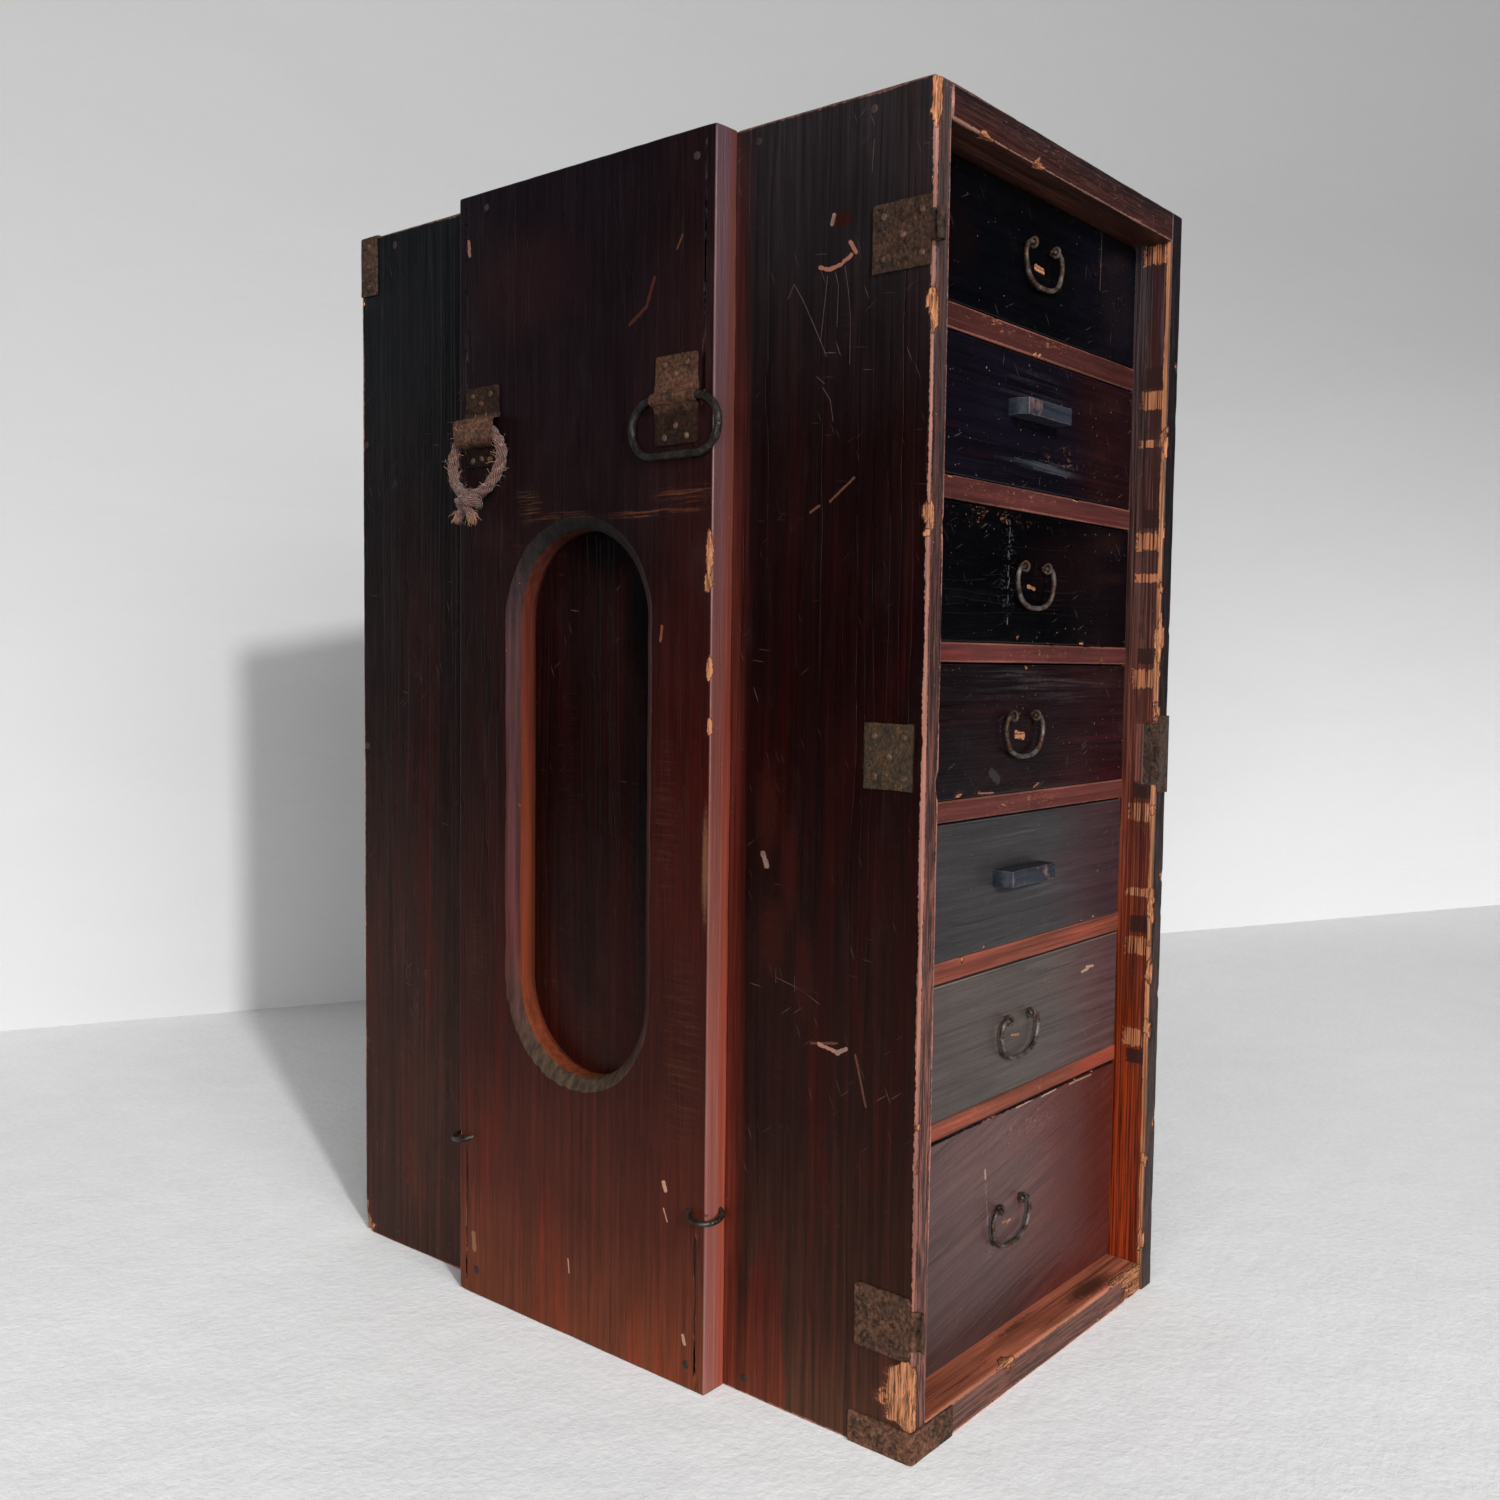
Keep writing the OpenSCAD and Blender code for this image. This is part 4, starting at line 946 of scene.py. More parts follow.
def strands_recipe():
    """Three strands laid round each edge path of a mesh, each of twisted yarns."""
    r = Recipe("Laid rope", Diameter=0.007, Lay=0.024, Yarn_lay=0.016, Step=0.0007)
    thick = r.given["Diameter"]
    curve = r.add("MeshToCurve", r.given["Geometry"])
    curve = r.add("ResampleCurve", curve, Length=r.given["Step"], settings={"mode": "LENGTH"})
    copies = r.add("DuplicateElements", curve, None, 3, settings={"domain": "SPLINE"})
    turns = r.add("SplineParameter").other("Length") / r.given["Lay"] + copies.other(1) / 3.0
    turn = turns * (2 * math.pi)
    normal = r.add("InputNormal")
    across = r.vector("CROSS_PRODUCT", r.add("InputTangent"), normal)
    off = r.vector("ADD", r.scaled(normal, r.math("COSINE", turn)),
        r.scaled(across, r.math("SINE", turn)))
    off = r.vector("ADD", r.scaled(off, thick * 0.232), r.scaled(r.stray(110.0, 2.0), 0.0009))
    laid = r.add("SetPosition", copies, Offset=off)
    far = r.add("SplineParameter").other("Length")
    laid = r.add("StoreNamedAttribute", laid, None, "along", far, settings=r.AT_POINTS)
    laid = r.add("SetCurveTilt", laid, Tilt=far / r.given["Yarn lay"] * (-2 * math.pi))
    ring = r.add("CurvePrimitiveCircle", Resolution=20, Radius=1.0)
    spot = r.add("InputPosition")
    x, y, _ = r.parts(spot)
    angle = r.math("ARCTAN2", y, x)
    ring = r.add("StoreNamedAttribute", ring, None, "around", angle, settings=r.AT_POINTS)
    ring = r.add("SetPosition", ring, Offset=r.scaled(spot, r.math("COSINE", angle * 5.0) * 0.09))
    ring = r.add("Transform", ring, Scale=r.evenly(thick * 0.262))
    return r.close(r.add("SetShadeSmooth", r.add("CurveToMesh", laid, ring, Fill_Caps=True)))


def fuzz_recipe():
    """Short curled fibres standing on a surface at random."""
    r = Recipe("Loose fibres", Density=90000.0, Length=0.0035, Thickness=0.00009, Seed=11)
    spots = r.add("DistributePointsOnFaces", r.given["Geometry"], Density=r.given["Density"],
        Seed=r.given["Seed"])
    fibre = r.add("CurvePrimitiveBezierSegment", 3, (0, 0, 0), (0.10, 0, 0.35), (0.45, 0.1, 0.6),
        (0.6, 0.25, 0.75))
    ring = r.add("CurvePrimitiveCircle", Resolution=3, Radius=1.0)
    ring = r.add("Transform", ring, Scale=r.evenly(r.given["Thickness"] / r.given["Length"]))
    fibre = r.add("CurveToMesh", fibre, ring, Fill_Caps=True)
    spin = r.random((-0.7, -0.7, 0.0), (0.7, 0.7, 6.28))
    facing = r.add("FunctionNodeRotateRotation", spots.other(2), spin,
        settings={"rotation_space": "LOCAL"})
    long = r.add("FunctionNodeRandomValue", None, None, 0.35, 1.3, Seed=r.given["Seed"]).other(1)
    return r.close(r.add("InstanceOnPoints", spots, Instance=fibre, Rotation=facing,
        Scale=r.evenly(long * r.given["Length"])))


# Stage: room, light and camera


class CABINET_OT_stage(bpy.types.Operator):
    """Camera at the photograph's place, soft studio light, floor and wall"""

    bl_idname = "cabinet.stage"
    bl_label = "Stage"

    CAMERA = (-0.7545, -0.6257, 0.4136)
    RIGHT = (0.63883, -0.76925, 0.01232)
    DOWN = (-0.03984, -0.04907, -0.998)
    AHEAD = (0.76832, 0.63706, -0.062)
    LENS = 34.588
    WALL_NORMAL = (-0.437, -0.8995)
    WALL_DISTANCE = 0.8547
    LIGHT_WAY = (0.38, 0.85, -0.37)
    # Name, place, aim, size and watts of each soft light
    FILLS = (("fill_front", (-1.1, -2.6, 1.5), (0.1, 0, 0.3), 1.6, 70),
        ("fill_left", (-2.3, -0.8, 0.55), (0.1, 0.6, 0.35), 1.2, 45))
    # How bright the studio's white is, and how bright for reflections and for the camera
    STUDIO, STUDIO_FOR = 0.12, (("Is Glossy Ray", 0.03), ("Is Camera Ray", 0.60))
    LEFT, RIGHT_END, NEAR, FAR = -1.9, 4.3, -4.3, 2.0

    def execute(self, context):
        scene = context.scene
        data = bpy.data.cameras.new("camera")
        data.lens, data.sensor_width = self.LENS, 36
        data.clip_start, data.clip_end = 0.01, 50
        camera = bpy.data.objects.new("camera", data)
        scene.collection.objects.link(camera)
        right, up, back = Vector(self.RIGHT), -Vector(self.DOWN), -Vector(self.AHEAD)
        turn = Matrix((right, up, back)).transposed().to_4x4()
        camera.matrix_world = Matrix.Translation(self.CAMERA) @ turn
        scene.camera = camera
        scene.view_settings.view_transform = "Standard"

        sun = bpy.data.lights.new("key", "SUN")
        sun.energy, sun.angle = 2.6, math.radians(3.0)
        lamp = bpy.data.objects.new("key", sun)
        lamp.rotation_euler = Vector(self.LIGHT_WAY).to_track_quat("-Z", "Y").to_euler()
        scene.collection.objects.link(lamp)

        for name, place, aim, size, watts in self.FILLS:
            area = bpy.data.lights.new(name, "AREA")
            area.size, area.energy = size, watts
            lamp = bpy.data.objects.new(name, area)
            lamp.location = place
            lamp.rotation_euler = (Vector(aim) - Vector(place)).to_track_quat("-Z", "Y").to_euler()
            scene.collection.objects.link(lamp)

        world = bpy.data.worlds.new("studio")
        world.use_nodes = True
        tree = world.node_tree
        background = tree.nodes["Background"]
        rays = tree.nodes.new("ShaderNodeLightPath").outputs
        background.inputs["Color"].default_value = (1, 1, 1, 1)
        strength = self.STUDIO
        for ray, level in self.STUDIO_FOR:
            choice = tree.nodes.new("ShaderNodeMapRange")
            tree.links.new(rays[ray], choice.inputs["Value"])
            choice.inputs["To Max"].default_value = level
            if isinstance(strength, float):
                choice.inputs["To Min"].default_value = strength
            else:
                tree.links.new(strength, choice.inputs["To Min"])
            strength = choice.outputs[0]
        tree.links.new(strength, background.inputs["Strength"])
        scene.world = world

        floor = new_mesh("floor", [(self.LEFT, self.NEAR, 0), (self.RIGHT_END, self.NEAR, 0),
            (self.RIGHT_END, self.FAR, 0), (self.LEFT, self.FAR, 0)], [(0, 1, 2, 3)])
        floor.data.materials.append(concrete("pale_concrete"))
        normal = Vector((*self.WALL_NORMAL, 0)).normalized()
        foot, way = -normal * self.WALL_DISTANCE, Vector((-normal.y, normal.x, 0))
        start, end, top = foot - way * 1.6, foot + way * 3.4, Vector((0, 0, 2.6))
        wall = new_mesh("wall", [start, end, end + top, start + top], [(0, 1, 2, 3)])
        wall.data.materials.append(plaster("pale_plaster"))
        return {"FINISHED"}


# Rope and carrying strap


def rope_route():
    """The rope's route from part.scad: along +Y, up from the hinge line, out from the plank."""
    route = [(0.5, 0, 3.9), (6.5, -1, 3.9), (12, -3.5, 3.9), (16.5, -7.5, 4), (20.5, -12.5, 4.1),
        (23, -18, 4.3), (23.5, -24, 4.8), (22, -30, 5.6), (18.5, -35, 6.5), (14, -39, 7.4),
        (8.5, -42, 8.1), (3, -43.5, 8.4), (-3, -43.5, 8.4), (-8.5, -41.5, 8.1), (-13.5, -38.5, 7.4),
        (-17.5, -34, 6.5), (-20.5, -28.5, 5.6), (-22.5, -22.5, 4.8), (-22.5, -17, 4.3), (-20.5, -12, 4.1),
        (-16.5, -7.5, 4), (-12, -3.5, 3.9), (-6.5, -1, 3.9), (-0.5, 0, 3.9)]
    strap_low, strap_high = box_of("rope_strap")
    middle = (strap_low[1] + strap_high[1]) / 2
    return [(PLANK_X - out / MM, middle + y / MM, HINGE_Z + z / MM) for y, z, out in route]


def path_mesh(paths):
    """A mesh of edges along paths, for the laid rope."""
    mesh = bpy.data.meshes.new("paths")
    points, edges = [], []
    for path in paths:
        start = len(points)
        points += [tuple(map(float, p)) for p in path]
        edges += [(start + n, start + n + 1) for n in range(len(path) - 1)]
    mesh.from_pydata(points, edges, [])
    return mesh


class CABINET_OT_rope(bpy.types.Operator):
    """Three-strand rope loop with its knot, frayed ends and loose fibres"""

    bl_idname = "cabinet.rope"
    bl_label = "Rope"

    def execute(self, context):
        size = sizes()
        route = rope_route()
        laid, fuzz = strands_recipe(), fuzz_recipe()
        strands = hemp("hemp_strands", tint("hemp"))
        tow = hemp("frayed_hemp", tint("frayed"), 200.0)
        loop = grown("rope_strands", path_mesh([route]), laid, strands, Diameter=size.rope_diameter,
            Lay=size.rope_twist)
        knot_low, knot_high = box_of("rope_knot")
        middle = Vector((knot_low + knot_high) / 2)
        top = Vector((middle.x, middle.y, knot_high[2] - 0.007))

        def turn(*steps):
            return [tuple(top + Vector(s) / MM) for s in steps]

        # Over the front of the knot from the left leg, then down
        front = turn((-1, 11, 3), (-3.5, 6, 2), (-5.5, 1, 0), (-5.5, -1.5, -5), (-4.5, -2.5, -10),
            (-3.5, -3.5, -14))
        # From the right leg, behind the first and out at the left
        back = turn((0, -11, 2), (-2, -6, 0.5), (-3.5, -3.5, -3), (-3.2, 0, -7), (-3.8, 4.5, -9),
            (-3, 8, -13))
        # A tight turn round both
        tight = turn((2.5, -3, -6), (-2.5, -7.5, -5.5), (-7, -4.5, -4.5), (-8, 0.5, -3.5),
            (-6, 5.5, -4.5), (-1.5, 7.5, -6), (2.5, 4, -7))
        knot = grown("rope_knot_turns", path_mesh([smooth_path(p) for p in (front, back, tight)]), laid,
            strands, Diameter=size.rope_diameter * 0.86, Lay=size.rope_twist * 0.8)
        rng = np.random.default_rng(8)
        hairs = []
        for end, lean, count in ((front[-1], (-0.1, -0.5), 120), (back[-1], (-0.1, 0.6), 110)):
            for _ in range(count):
                start = np.array(end) + rng.normal(0, 0.0011, 3) + (0, 0, 0.002)
                way = np.array([lean[0] + rng.normal(0, 0.3), lean[1] + rng.normal(0, 0.42), -1.0])
                way *= rng.uniform(0.0028, 0.0072) / np.linalg.norm(way)
                curl = rng.normal(0, 0.0009, 3)
                t = np.linspace(0, 1, 5)[:, None]
                strand = start + way * t + curl * np.sin(t * 2.6)
                hairs.append(swept(strand, np.linspace(0.00022, 0.00008, 5), 3))
        tassel = new_mesh("rope_frayed_ends", *joined(*hairs))
        loose = grown("rope_fuzz", loop.data.copy(), fuzz, tow, Density=45000.0, Length=size.fuzz_length)
        body, slot = "case", "hemp_rope"
        dress(loop, None, body, ["rope_loop"])
        dress(knot, None, body, ["rope_knot"])
        tassel.data.materials.append(tow)
        for extra in (tassel, loose):
            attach(extra, body)
        return {"FINISHED"}


# Case: boards of the box


def at(y, z):
    """A point on the left side's face, from millimetres along the depth and up."""
    return (SIDE_X, y / MM, z / MM)


# Tones up the case: of the sides, the front edges, the painted reflection beside the plank, the top and the floor
SIDE_TONES = shades((0, 436, 181, 102), (60, 195, 68, 42), (170, 81, 23, 15), (340, 41, 9, 7.6),
    (520, 42, 14, 15), (640, 79, 61, 66), (700, 103, 85, 92))
SIDE_BACK_TONES = shades((0, 254, 97, 60), (140, 192, 71, 47), (360, 58, 19, 17), (600, 24, 27, 33),
    (700, 23, 28, 35))
SIDE_EDGE_TONES = shades((0, 460, 220, 190), (200, 300, 145, 135), (360, 220, 120, 115),
    (520, 240, 160, 165), (700, 280, 225, 230))
DARK_EDGE_TONES = shades((0, 100, 80, 80), (350, 48, 48, 60), (700, 42, 48, 64))
# Painted reflection of the plank's red edge in the glossy side just in front of it
PLANK_REFLECTION_TONES = shades((0, 800, 160, 80), (100, 620, 110, 65), (300, 400, 64, 42), (600, 260, 66, 52),
    (670, 240, 80, 70), (700, 120, 60, 60))
TOP_TONES = shades((0, 240, 100, 76), (682, 300, 120, 88), (699, 62, 48, 62))
TOP_EDGE_TONES = shades((0, 140, 60, 60), (684, 220, 78, 70), (692, 150, 65, 68), (700, 80, 58, 70))
FLOOR_TONES = shades((0, 500, 220, 180), (15, 800, 360, 300), (17.8, 2350, 660, 340))
FLOOR_EDGE_TONES = shades((0, 450, 220, 180), (18, 750, 380, 300))
# Scratches on the left side in millimetres, as (y, z) to (y, z)
ARCS = [((-183, 628), (-187, 622)), ((-179, 618.5), (-184, 621)), ((-170.5, 616), (-178, 617.5)),
    ((-164, 618), (-169, 616))]
THIN_LINES = [((-180, 616), (-182.5, 603)), ((-182.5, 603), (-184, 590)), ((-184, 590), (-184, 566)),
    ((-174, 614), (-176, 607)), ((-176, 607), (-175.5, 586)), ((-169, 613), (-166, 588)),
    ((-166, 588), (-165, 580)), ((-147, 612), (-153, 603)), ((-153, 603), (-160, 590)),
    ((-160, 590), (-169, 572)), ((-147, 612), (-143, 605)), ((-167, 556), (-172, 549)),
    ((-172, 549), (-174, 538)), ((-163, 562), (-168, 558)), ((-141, 241), (-158, 237)),
    ((-158, 237), (-171, 231)), ((-141, 246), (-141, 238)), ((-154, 243), (-154, 235)),
    ((-197, 676), (-196, 660))]
DULL_MARKS = [((-188, 508), (-173, 497)), ((-166, 495), (-160, 492)), ((-183, 212), (-166, 209)),
    ((-202, 182), (-195, 208))]
# Where the boards are worn more, as (place, reach along x y z, amount)
LEFT_WORN = [((SIDE_X, y, z), reach, amount) for y, z, reach, amount in (
    (FRONT_Y, 0.683, (0.006, 0.0018, 0.024), 0.5), (FRONT_Y, 0.592, (0.006, 0.0026, 0.011), 0.62),
    (FRONT_Y, 0.52, (0.005, 0.0018, 0.014), 0.15), (FRONT_Y, 0.445, (0.006, 0.0016, 0.012), 0.1),
    (FRONT_Y, 0.31, (0.006, 0.0016, 0.014), 0.15), (FRONT_Y, 0.245, (0.006, 0.0026, 0.006), 0.3),
    (FRONT_Y, 0.16, (0.006, 0.002, 0.018), 0.3), (FRONT_Y + 0.007, 0.036, (0.006, 0.0125, 0.015), 2.2),
    (FRONT_Y + 0.016, 0.028, (0.004, 0.006, 0.007), 1.4), (SIDE_HIGH[1], 0.0, (0.01, 0.01, 0.012), 1.8),
    (FRONT_Y, 0.7, (0.01, 0.01, 0.012), 0.8))]
RIGHT_X, CHEEK_X = 0.1315, 0.1325
RIGHT_WORN = [((SIDE_HIGH[0] - 0.008, FRONT_Y, 0.02), (0.02, 0.006, 0.02), 1.0),
    ((RIGHT_X, FRONT_Y, 0.30), (0.005, 0.006, 0.10), 0.5), ((RIGHT_X, FRONT_Y, 0.50),
    (0.005, 0.005, 0.06), 0.6), *(((SIDE_HIGH[0], FRONT_Y, z), (0.004, 0.004, tall), 0.32)
    for z, tall in ((0.64, 0.02), (0.57, 0.012), (0.49, 0.018), (0.41, 0.010), (0.33, 0.016),
    (0.22, 0.02)))]
FLOOR_WORN = [((0.115, FRONT_Y, 0.01), (0.03, 0.01, 0.02), 0.9),
    ((-0.05, FRONT_Y, 0.018), (0.02, 0.01, 0.004), 0.5)]
FLAME, EMBER = (0.017, 0.0030, 0.0020, 0.75), (0.030, 0.0075, 0.0040, 0.45)
# Near-black painted shadow for the inside of the plank's hole
HOLE_SHADOW = (0.0007, 0.0005, 0.0006, 0.93)
# Soft patches on the left side in millimetres: middle y, z, half sizes along them, tone and kind.
# The first three are near-black painted shadow inside the plank's hole, cast by its right wall and under its top.
SIDE_PATCHES = [(-55, 330, 26, 170, HOLE_SHADOW, "plain"), (-14, 488, 44, 34, HOLE_SHADOW, "plain"),
    (-42, 445, 22, 60, HOLE_SHADOW, "plain"), (22, 330, 10, 120, (*FLAME[:3], 0.35), "streaks"),
    (2, 190, 20, 18, EMBER, "streaks"), (-134, 332, 10, 34, FLAME, "plain"),
    (-150, 300, 7, 40, FLAME, "plain"), (-138, 262, 12, 30, FLAME, "plain"),
    (-160, 245, 8, 34, FLAME, "plain"), (-146, 180, 14, 36, FLAME, "streaks"),
    (-178, 640, 9, 5, FLAME, "plain"), (-182, 585, 8, 14, (0.012, 0.008, 0.008, 0.5), "streaks")]


class CABINET_OT_case(bpy.types.Operator):
    """The case's five boards, worn at their arrises"""

    bl_idname = "cabinet.case"
    bl_label = "Case boards"

    def execute(self, context):
        pale, brown = (0.14, 0.085, 0.070), (0.055, 0.022, 0.015)
        arc_tone, faint, thin = (0.19, 0.075, 0.050, 0.8), (0.085, 0.052, 0.044, 0.5), 0.00022
        scratches = [(at(*a), at(*b), 0.0012, arc_tone) for a, b in ARCS]
        scratches += [(at(*a), at(*b), thin, faint) for a, b in THIN_LINES]
        scratches += [(at(*a), at(*b), 0.0008, brown) for a, b in DULL_MARKS]
        scratches += [(at(-131, 308), at(-133.5, 302), 0.0018, pale),
            (at(-172.5, 643), at(-171.5, 639), 0.0014, pale),
            (at(-171, 209.5), at(-184, 207), 0.0012, (0.19, 0.09, 0.065)),
            (at(-183, 207), at(-189, 210), 0.0013, pale)]
        shapes = [(at(y, z), (0.004, wide / MM, tall / MM), tone, kind)
            for y, z, wide, tall, tone, kind in SIDE_PATCHES]
        # The band just in front of the plank's edge is painted reflection of that edge
        left_finish = lacquer("dark_lacquer_left", 2, SIDE_TONES, marks=scratches, patches=shapes,
            drift_to=(1, 0.06, 0.12, SIDE_BACK_TONES), edge=(FRONT_Y, SIDE_EDGE_TONES, 1.0),
            plank_reflection=(-0.121, -0.1085, PLANK_REFLECTION_TONES), cheek=(-CHEEK_X, 1), gloss=0.20, dust=0.05,
            figure=0.8, rub=0.0014, rub_tone=(0.23, 0.100, 0.075), scratches=0.5, specks=0.8)
        right_finish = lacquer("dark_lacquer_right", 2, SIDE_TONES, gloss=0.25, shift=3.1,
            edge=(FRONT_Y, DARK_EDGE_TONES, 0.3), cheek=(CHEEK_X, -1), rub=0.0006,
            rub_tone=(0.060, 0.034, 0.028))
        worn_front = [((0.02, FRONT_Y, 0.693), (0.15, 0.01, 0.007), (0.085, 0.040, 0.030, 0.8), "flecks"),
            ((-0.03, FRONT_Y + 0.012, 0.682), (0.12, 0.015, 0.003), (0.10, 0.035, 0.020, 0.6), "streaks")]
        top_finish = lacquer("dark_lacquer_top", 0, TOP_TONES, gloss=0.3, shift=5.3, rub=0.0011,
            rub_tone=(0.20, 0.10, 0.075), edge=(FRONT_Y, TOP_EDGE_TONES, 0.5), specks=1.6, dust=0.2,
            patches=worn_front)
        stains = [((x, FRONT_Y + y, 0.018), (wide, 0.009, 0.002), (0.024, 0.010, 0.007, 0.85), kind)
            for x, y, wide, kind in ((-0.085, 0.012, 0.045, "streaks"), (0.0, 0.015, 0.050, "streaks"),
            (0.075, 0.010, 0.040, "plain"), (0.03, 0.006, 0.035, "streaks"))]
        floor_finish = lacquer("brown_lacquer_floor", 0, FLOOR_TONES, gloss=0.4, shift=7.7, red=0.0,
            dust=0.2, rub=0.0012, rub_tone=(0.30, 0.11, 0.065), edge=(FRONT_Y, FLOOR_EDGE_TONES),
            patches=stains)
        back_finish = lacquer("dark_lacquer_back", 2, SIDE_TONES, gloss=0.34, shift=9.2, dust=0.2)
        dark, red = "dark_lacquered_cedar", "red_lacquered_cedar"
        boards = [("left_side", left_finish, (4, 7, 3.2), LEFT_WORN, 21, 1.15, dark),
            ("right_side", right_finish, (4, 9, 3.2), RIGHT_WORN, 22, 1.6, red),
            ("top_board", top_finish, (3, 8, 4), [], 23, 1.9, dark),
            ("bottom_board", floor_finish, (4, 8, 6), FLOOR_WORN, 24, 1.2, red),
            ("back_panel", back_finish, (7, 5, 7), [], 25, 1.0, dark)]
        for node, finish, steps, places, seed, chips, slot in boards:
            low, high = box_of(node)
            if node == "right_side":
                low, high = np.array([RIGHT_X, *low[1:]]), np.array([0.1455, *high[1:]])
            piece = worn_board(node + "_worn", low, high, [s / MM for s in steps], seed, places=places,
                chips=chips)
            if node == "right_side":
                # The strike plate's bed, and the mortise behind its slot
                bed, x, z = box_of("strike_plate")[0][0] + SHEET, 0.1310, 0.356
                cut_box(piece, (x, FRONT_Y - 0.01, z - 0.0196),
                    (bed + 0.00005, FRONT_Y + 0.0101, z + 0.0196))
                cut_box(piece, (x, FRONT_Y + 0.0012, z - 0.005),
                    (bed + 0.006, FRONT_Y + 0.0038, z + 0.005))
            dress(piece, finish, "case", [node])
        return {"FINISHED"}


# Carrier plank


def plank_rings(low, high):
    """The plank's mesh: rings from the back of the hole's wall out round the plank's edges.

    Gives points, faces, each point's distance from the hole's rim, and 1 on the hole's wall,
    0.5 on its bevel and 0 elsewhere."""
    hole_half, hole_low, hole_high = 0.054, 0.1615, 0.4895
    rim_w, rim_d = 0.0076, 0.0051
    z_low, z_high = hole_low + hole_half, hole_high - hole_half
    arris = sizes().arris
    ys, zs = lines(low[1], high[1], 0.003, arris), lines(low[2], high[2], 0.003, arris)
    loop = np.array([*[(y, zs[0]) for y in ys[:-1]], *[(ys[-1], z) for z in zs[:-1]],
        *[(y, zs[-1]) for y in ys[:0:-1]], *[(ys[0], z) for z in zs[:0:-1]]])
    centre = np.stack([np.zeros(len(loop)), np.clip(loop[:, 1], z_low, z_high)], 1)
    way = loop - centre
    far = np.linalg.norm(way, axis=1, keepdims=True)
    way /= far
    rough = 1 + 0.16 * cloud(np.c_[centre + way * hole_half, np.zeros(len(loop))], 0.02, 41, 3)
    low_left = soft_step(way[:, 1] * -0.6 + way[:, 0] * 0.5, 0.25, 0.9)
    rough += low_left * 0.22 * cloud(np.c_[way * 0.1, np.zeros(len(loop))], 0.006, 42, 2)
    front, back = low[0], high[0]
    shape = [(hole_half, back), (hole_half, back - 0.004), (hole_half, front + rim_d + 0.0045),
        (hole_half + 0.0002, front + rim_d + 0.001), (hole_half + 0.0005, front + rim_d),
        (hole_half + rim_w * 0.25, front + rim_d * 0.72), (hole_half + rim_w * 0.55,
        front + rim_d * 0.40), (hole_half + rim_w * 0.85, front + rim_d * 0.12),
        (hole_half + rim_w, front + 0.0001), (hole_half + rim_w * 1.12, front)]
    rings, from_rim = [], []
    for n, (out, x) in enumerate(shape):
        wide = out + (rough - 1) * rim_w * (0.0 if n < 3 else 1.0) * (n / 9)
        rings.append(np.c_[np.full(len(loop), x), centre + way * wide[:, None]])
        from_rim.append(np.full(len(loop), min(abs(n - 8) * 0.0014, abs(n - 4) * 0.0014)))
    start = rings[-1][:, 1:]
    edge = arris * NEAR_ARRIS[::-1]
    gap = np.linalg.norm(loop - start, axis=1, keepdims=True)
    for share in np.linspace(0, 1, 34)[1:-1]:
        spot = start + (loop - start) * share * (1 - edge[0] * 1.2 / gap)
        rings.append(np.c_[np.full(len(loop), front), spot])
        from_rim.append(np.linalg.norm(spot - start, axis=1))
    mid = np.array([0, (low[2] + high[2]) / 2])
    half = np.array([high[1], (high[2] - low[2]) / 2])
    for inset in edge:
        shrunk = mid + (loop - mid) * (1 - inset / half)
        rings.append(np.c_[np.full(len(loop), front), shrunk])
        from_rim.append(np.full(len(loop), 0.05))
    for x in lines(front, back, 0.003, arris)[1:]:
        rings.append(np.c_[np.full(len(loop), x), loop])
        from_rim.append(np.full(len(loop), 0.05))
    count = len(loop)
    faces = []
    for n in range(len(rings)):
        after = (n + 1) % len(rings)
        k = np.arange(count)
        beside = (k + 1) % count
        faces.append(np.stack([n * count + k, n * count + beside, after * count + beside,
            after * count + k], 1))
    wall = np.zeros((len(rings), count))
    wall[:4], wall[4:9] = 1.0, 0.5
    return np.concatenate(rings), np.concatenate(faces), np.concatenate(from_rim), wall.ravel()


PLANK_TONES = shades((0, 756, 198, 84), (80, 350, 84, 47), (170, 178, 39, 25), (340, 57, 18, 13),
    (500, 49, 22, 26), (700, 32, 19, 30))
PLANK_RIGHT_TONES = shades((0, 773, 194, 80), (80, 365, 80, 43), (170, 206, 39, 23), (340, 157, 16, 9),
    (500, 86, 21, 20), (700, 60, 27, 33))
HOLE_WALL_TONES = shades((150, 1000, 220, 75), (220, 840, 165, 68), (400, 600, 118, 60),
    (500, 280, 72, 50))
HOLE_BEVEL_TONES = shades((150, 340, 240, 150), (190, 340, 165, 120), (240, 420, 115, 100),
    (420, 300, 130, 140), (475, 105, 75, 72), (500, 40, 34, 32))
PLANK_EDGE_TONES = shades((0, 1670, 580, 470), (220, 1340, 420, 330), (360, 830, 254, 210),
    (560, 570, 285, 310), (700, 570, 320, 370))
PALE_NICK, ORANGE_WEAR = (0.26, 0.15, 0.10), (0.11, 0.036, 0.016, 0.8)
FAINT_WEAR = (0.075, 0.028, 0.013, 0.7)
# Nicks and scratches in millimetres: from y, z to y, z, width and tone
PLANK_MARKS = [(73, 524, 69, 524, 1.5, (0.26, 0.13, 0.085)), (-28, 485, -34, 484.5, 1, ORANGE_WEAR),
    (-70, 432, -69, 424, 1.1, ORANGE_WEAR), (-75, 115, -76.5, 111, 1.6, PALE_NICK),
    (-91, 30, -92, 26, 1.4, PALE_NICK), (-75, 100, -78, 93, 0.5, PALE_NICK),
    (-83, 645, -79, 638, 0.6, FAINT_WEAR), (-62, 625, -56, 610, 1.2, (0.045, 0.01, 0.008, 0.7)),
    (-56, 610, -43, 602, 1.2, (0.04, 0.01, 0.008, 0.7)), (98, 672, 97, 664, 1.6, (0.13, 0.06, 0.04)),
    (93, 40, 92, 30, 2.2, (0.17, 0.085, 0.045, 0.7)), (4, 48, 3, 40, 0.6, PALE_NICK)]
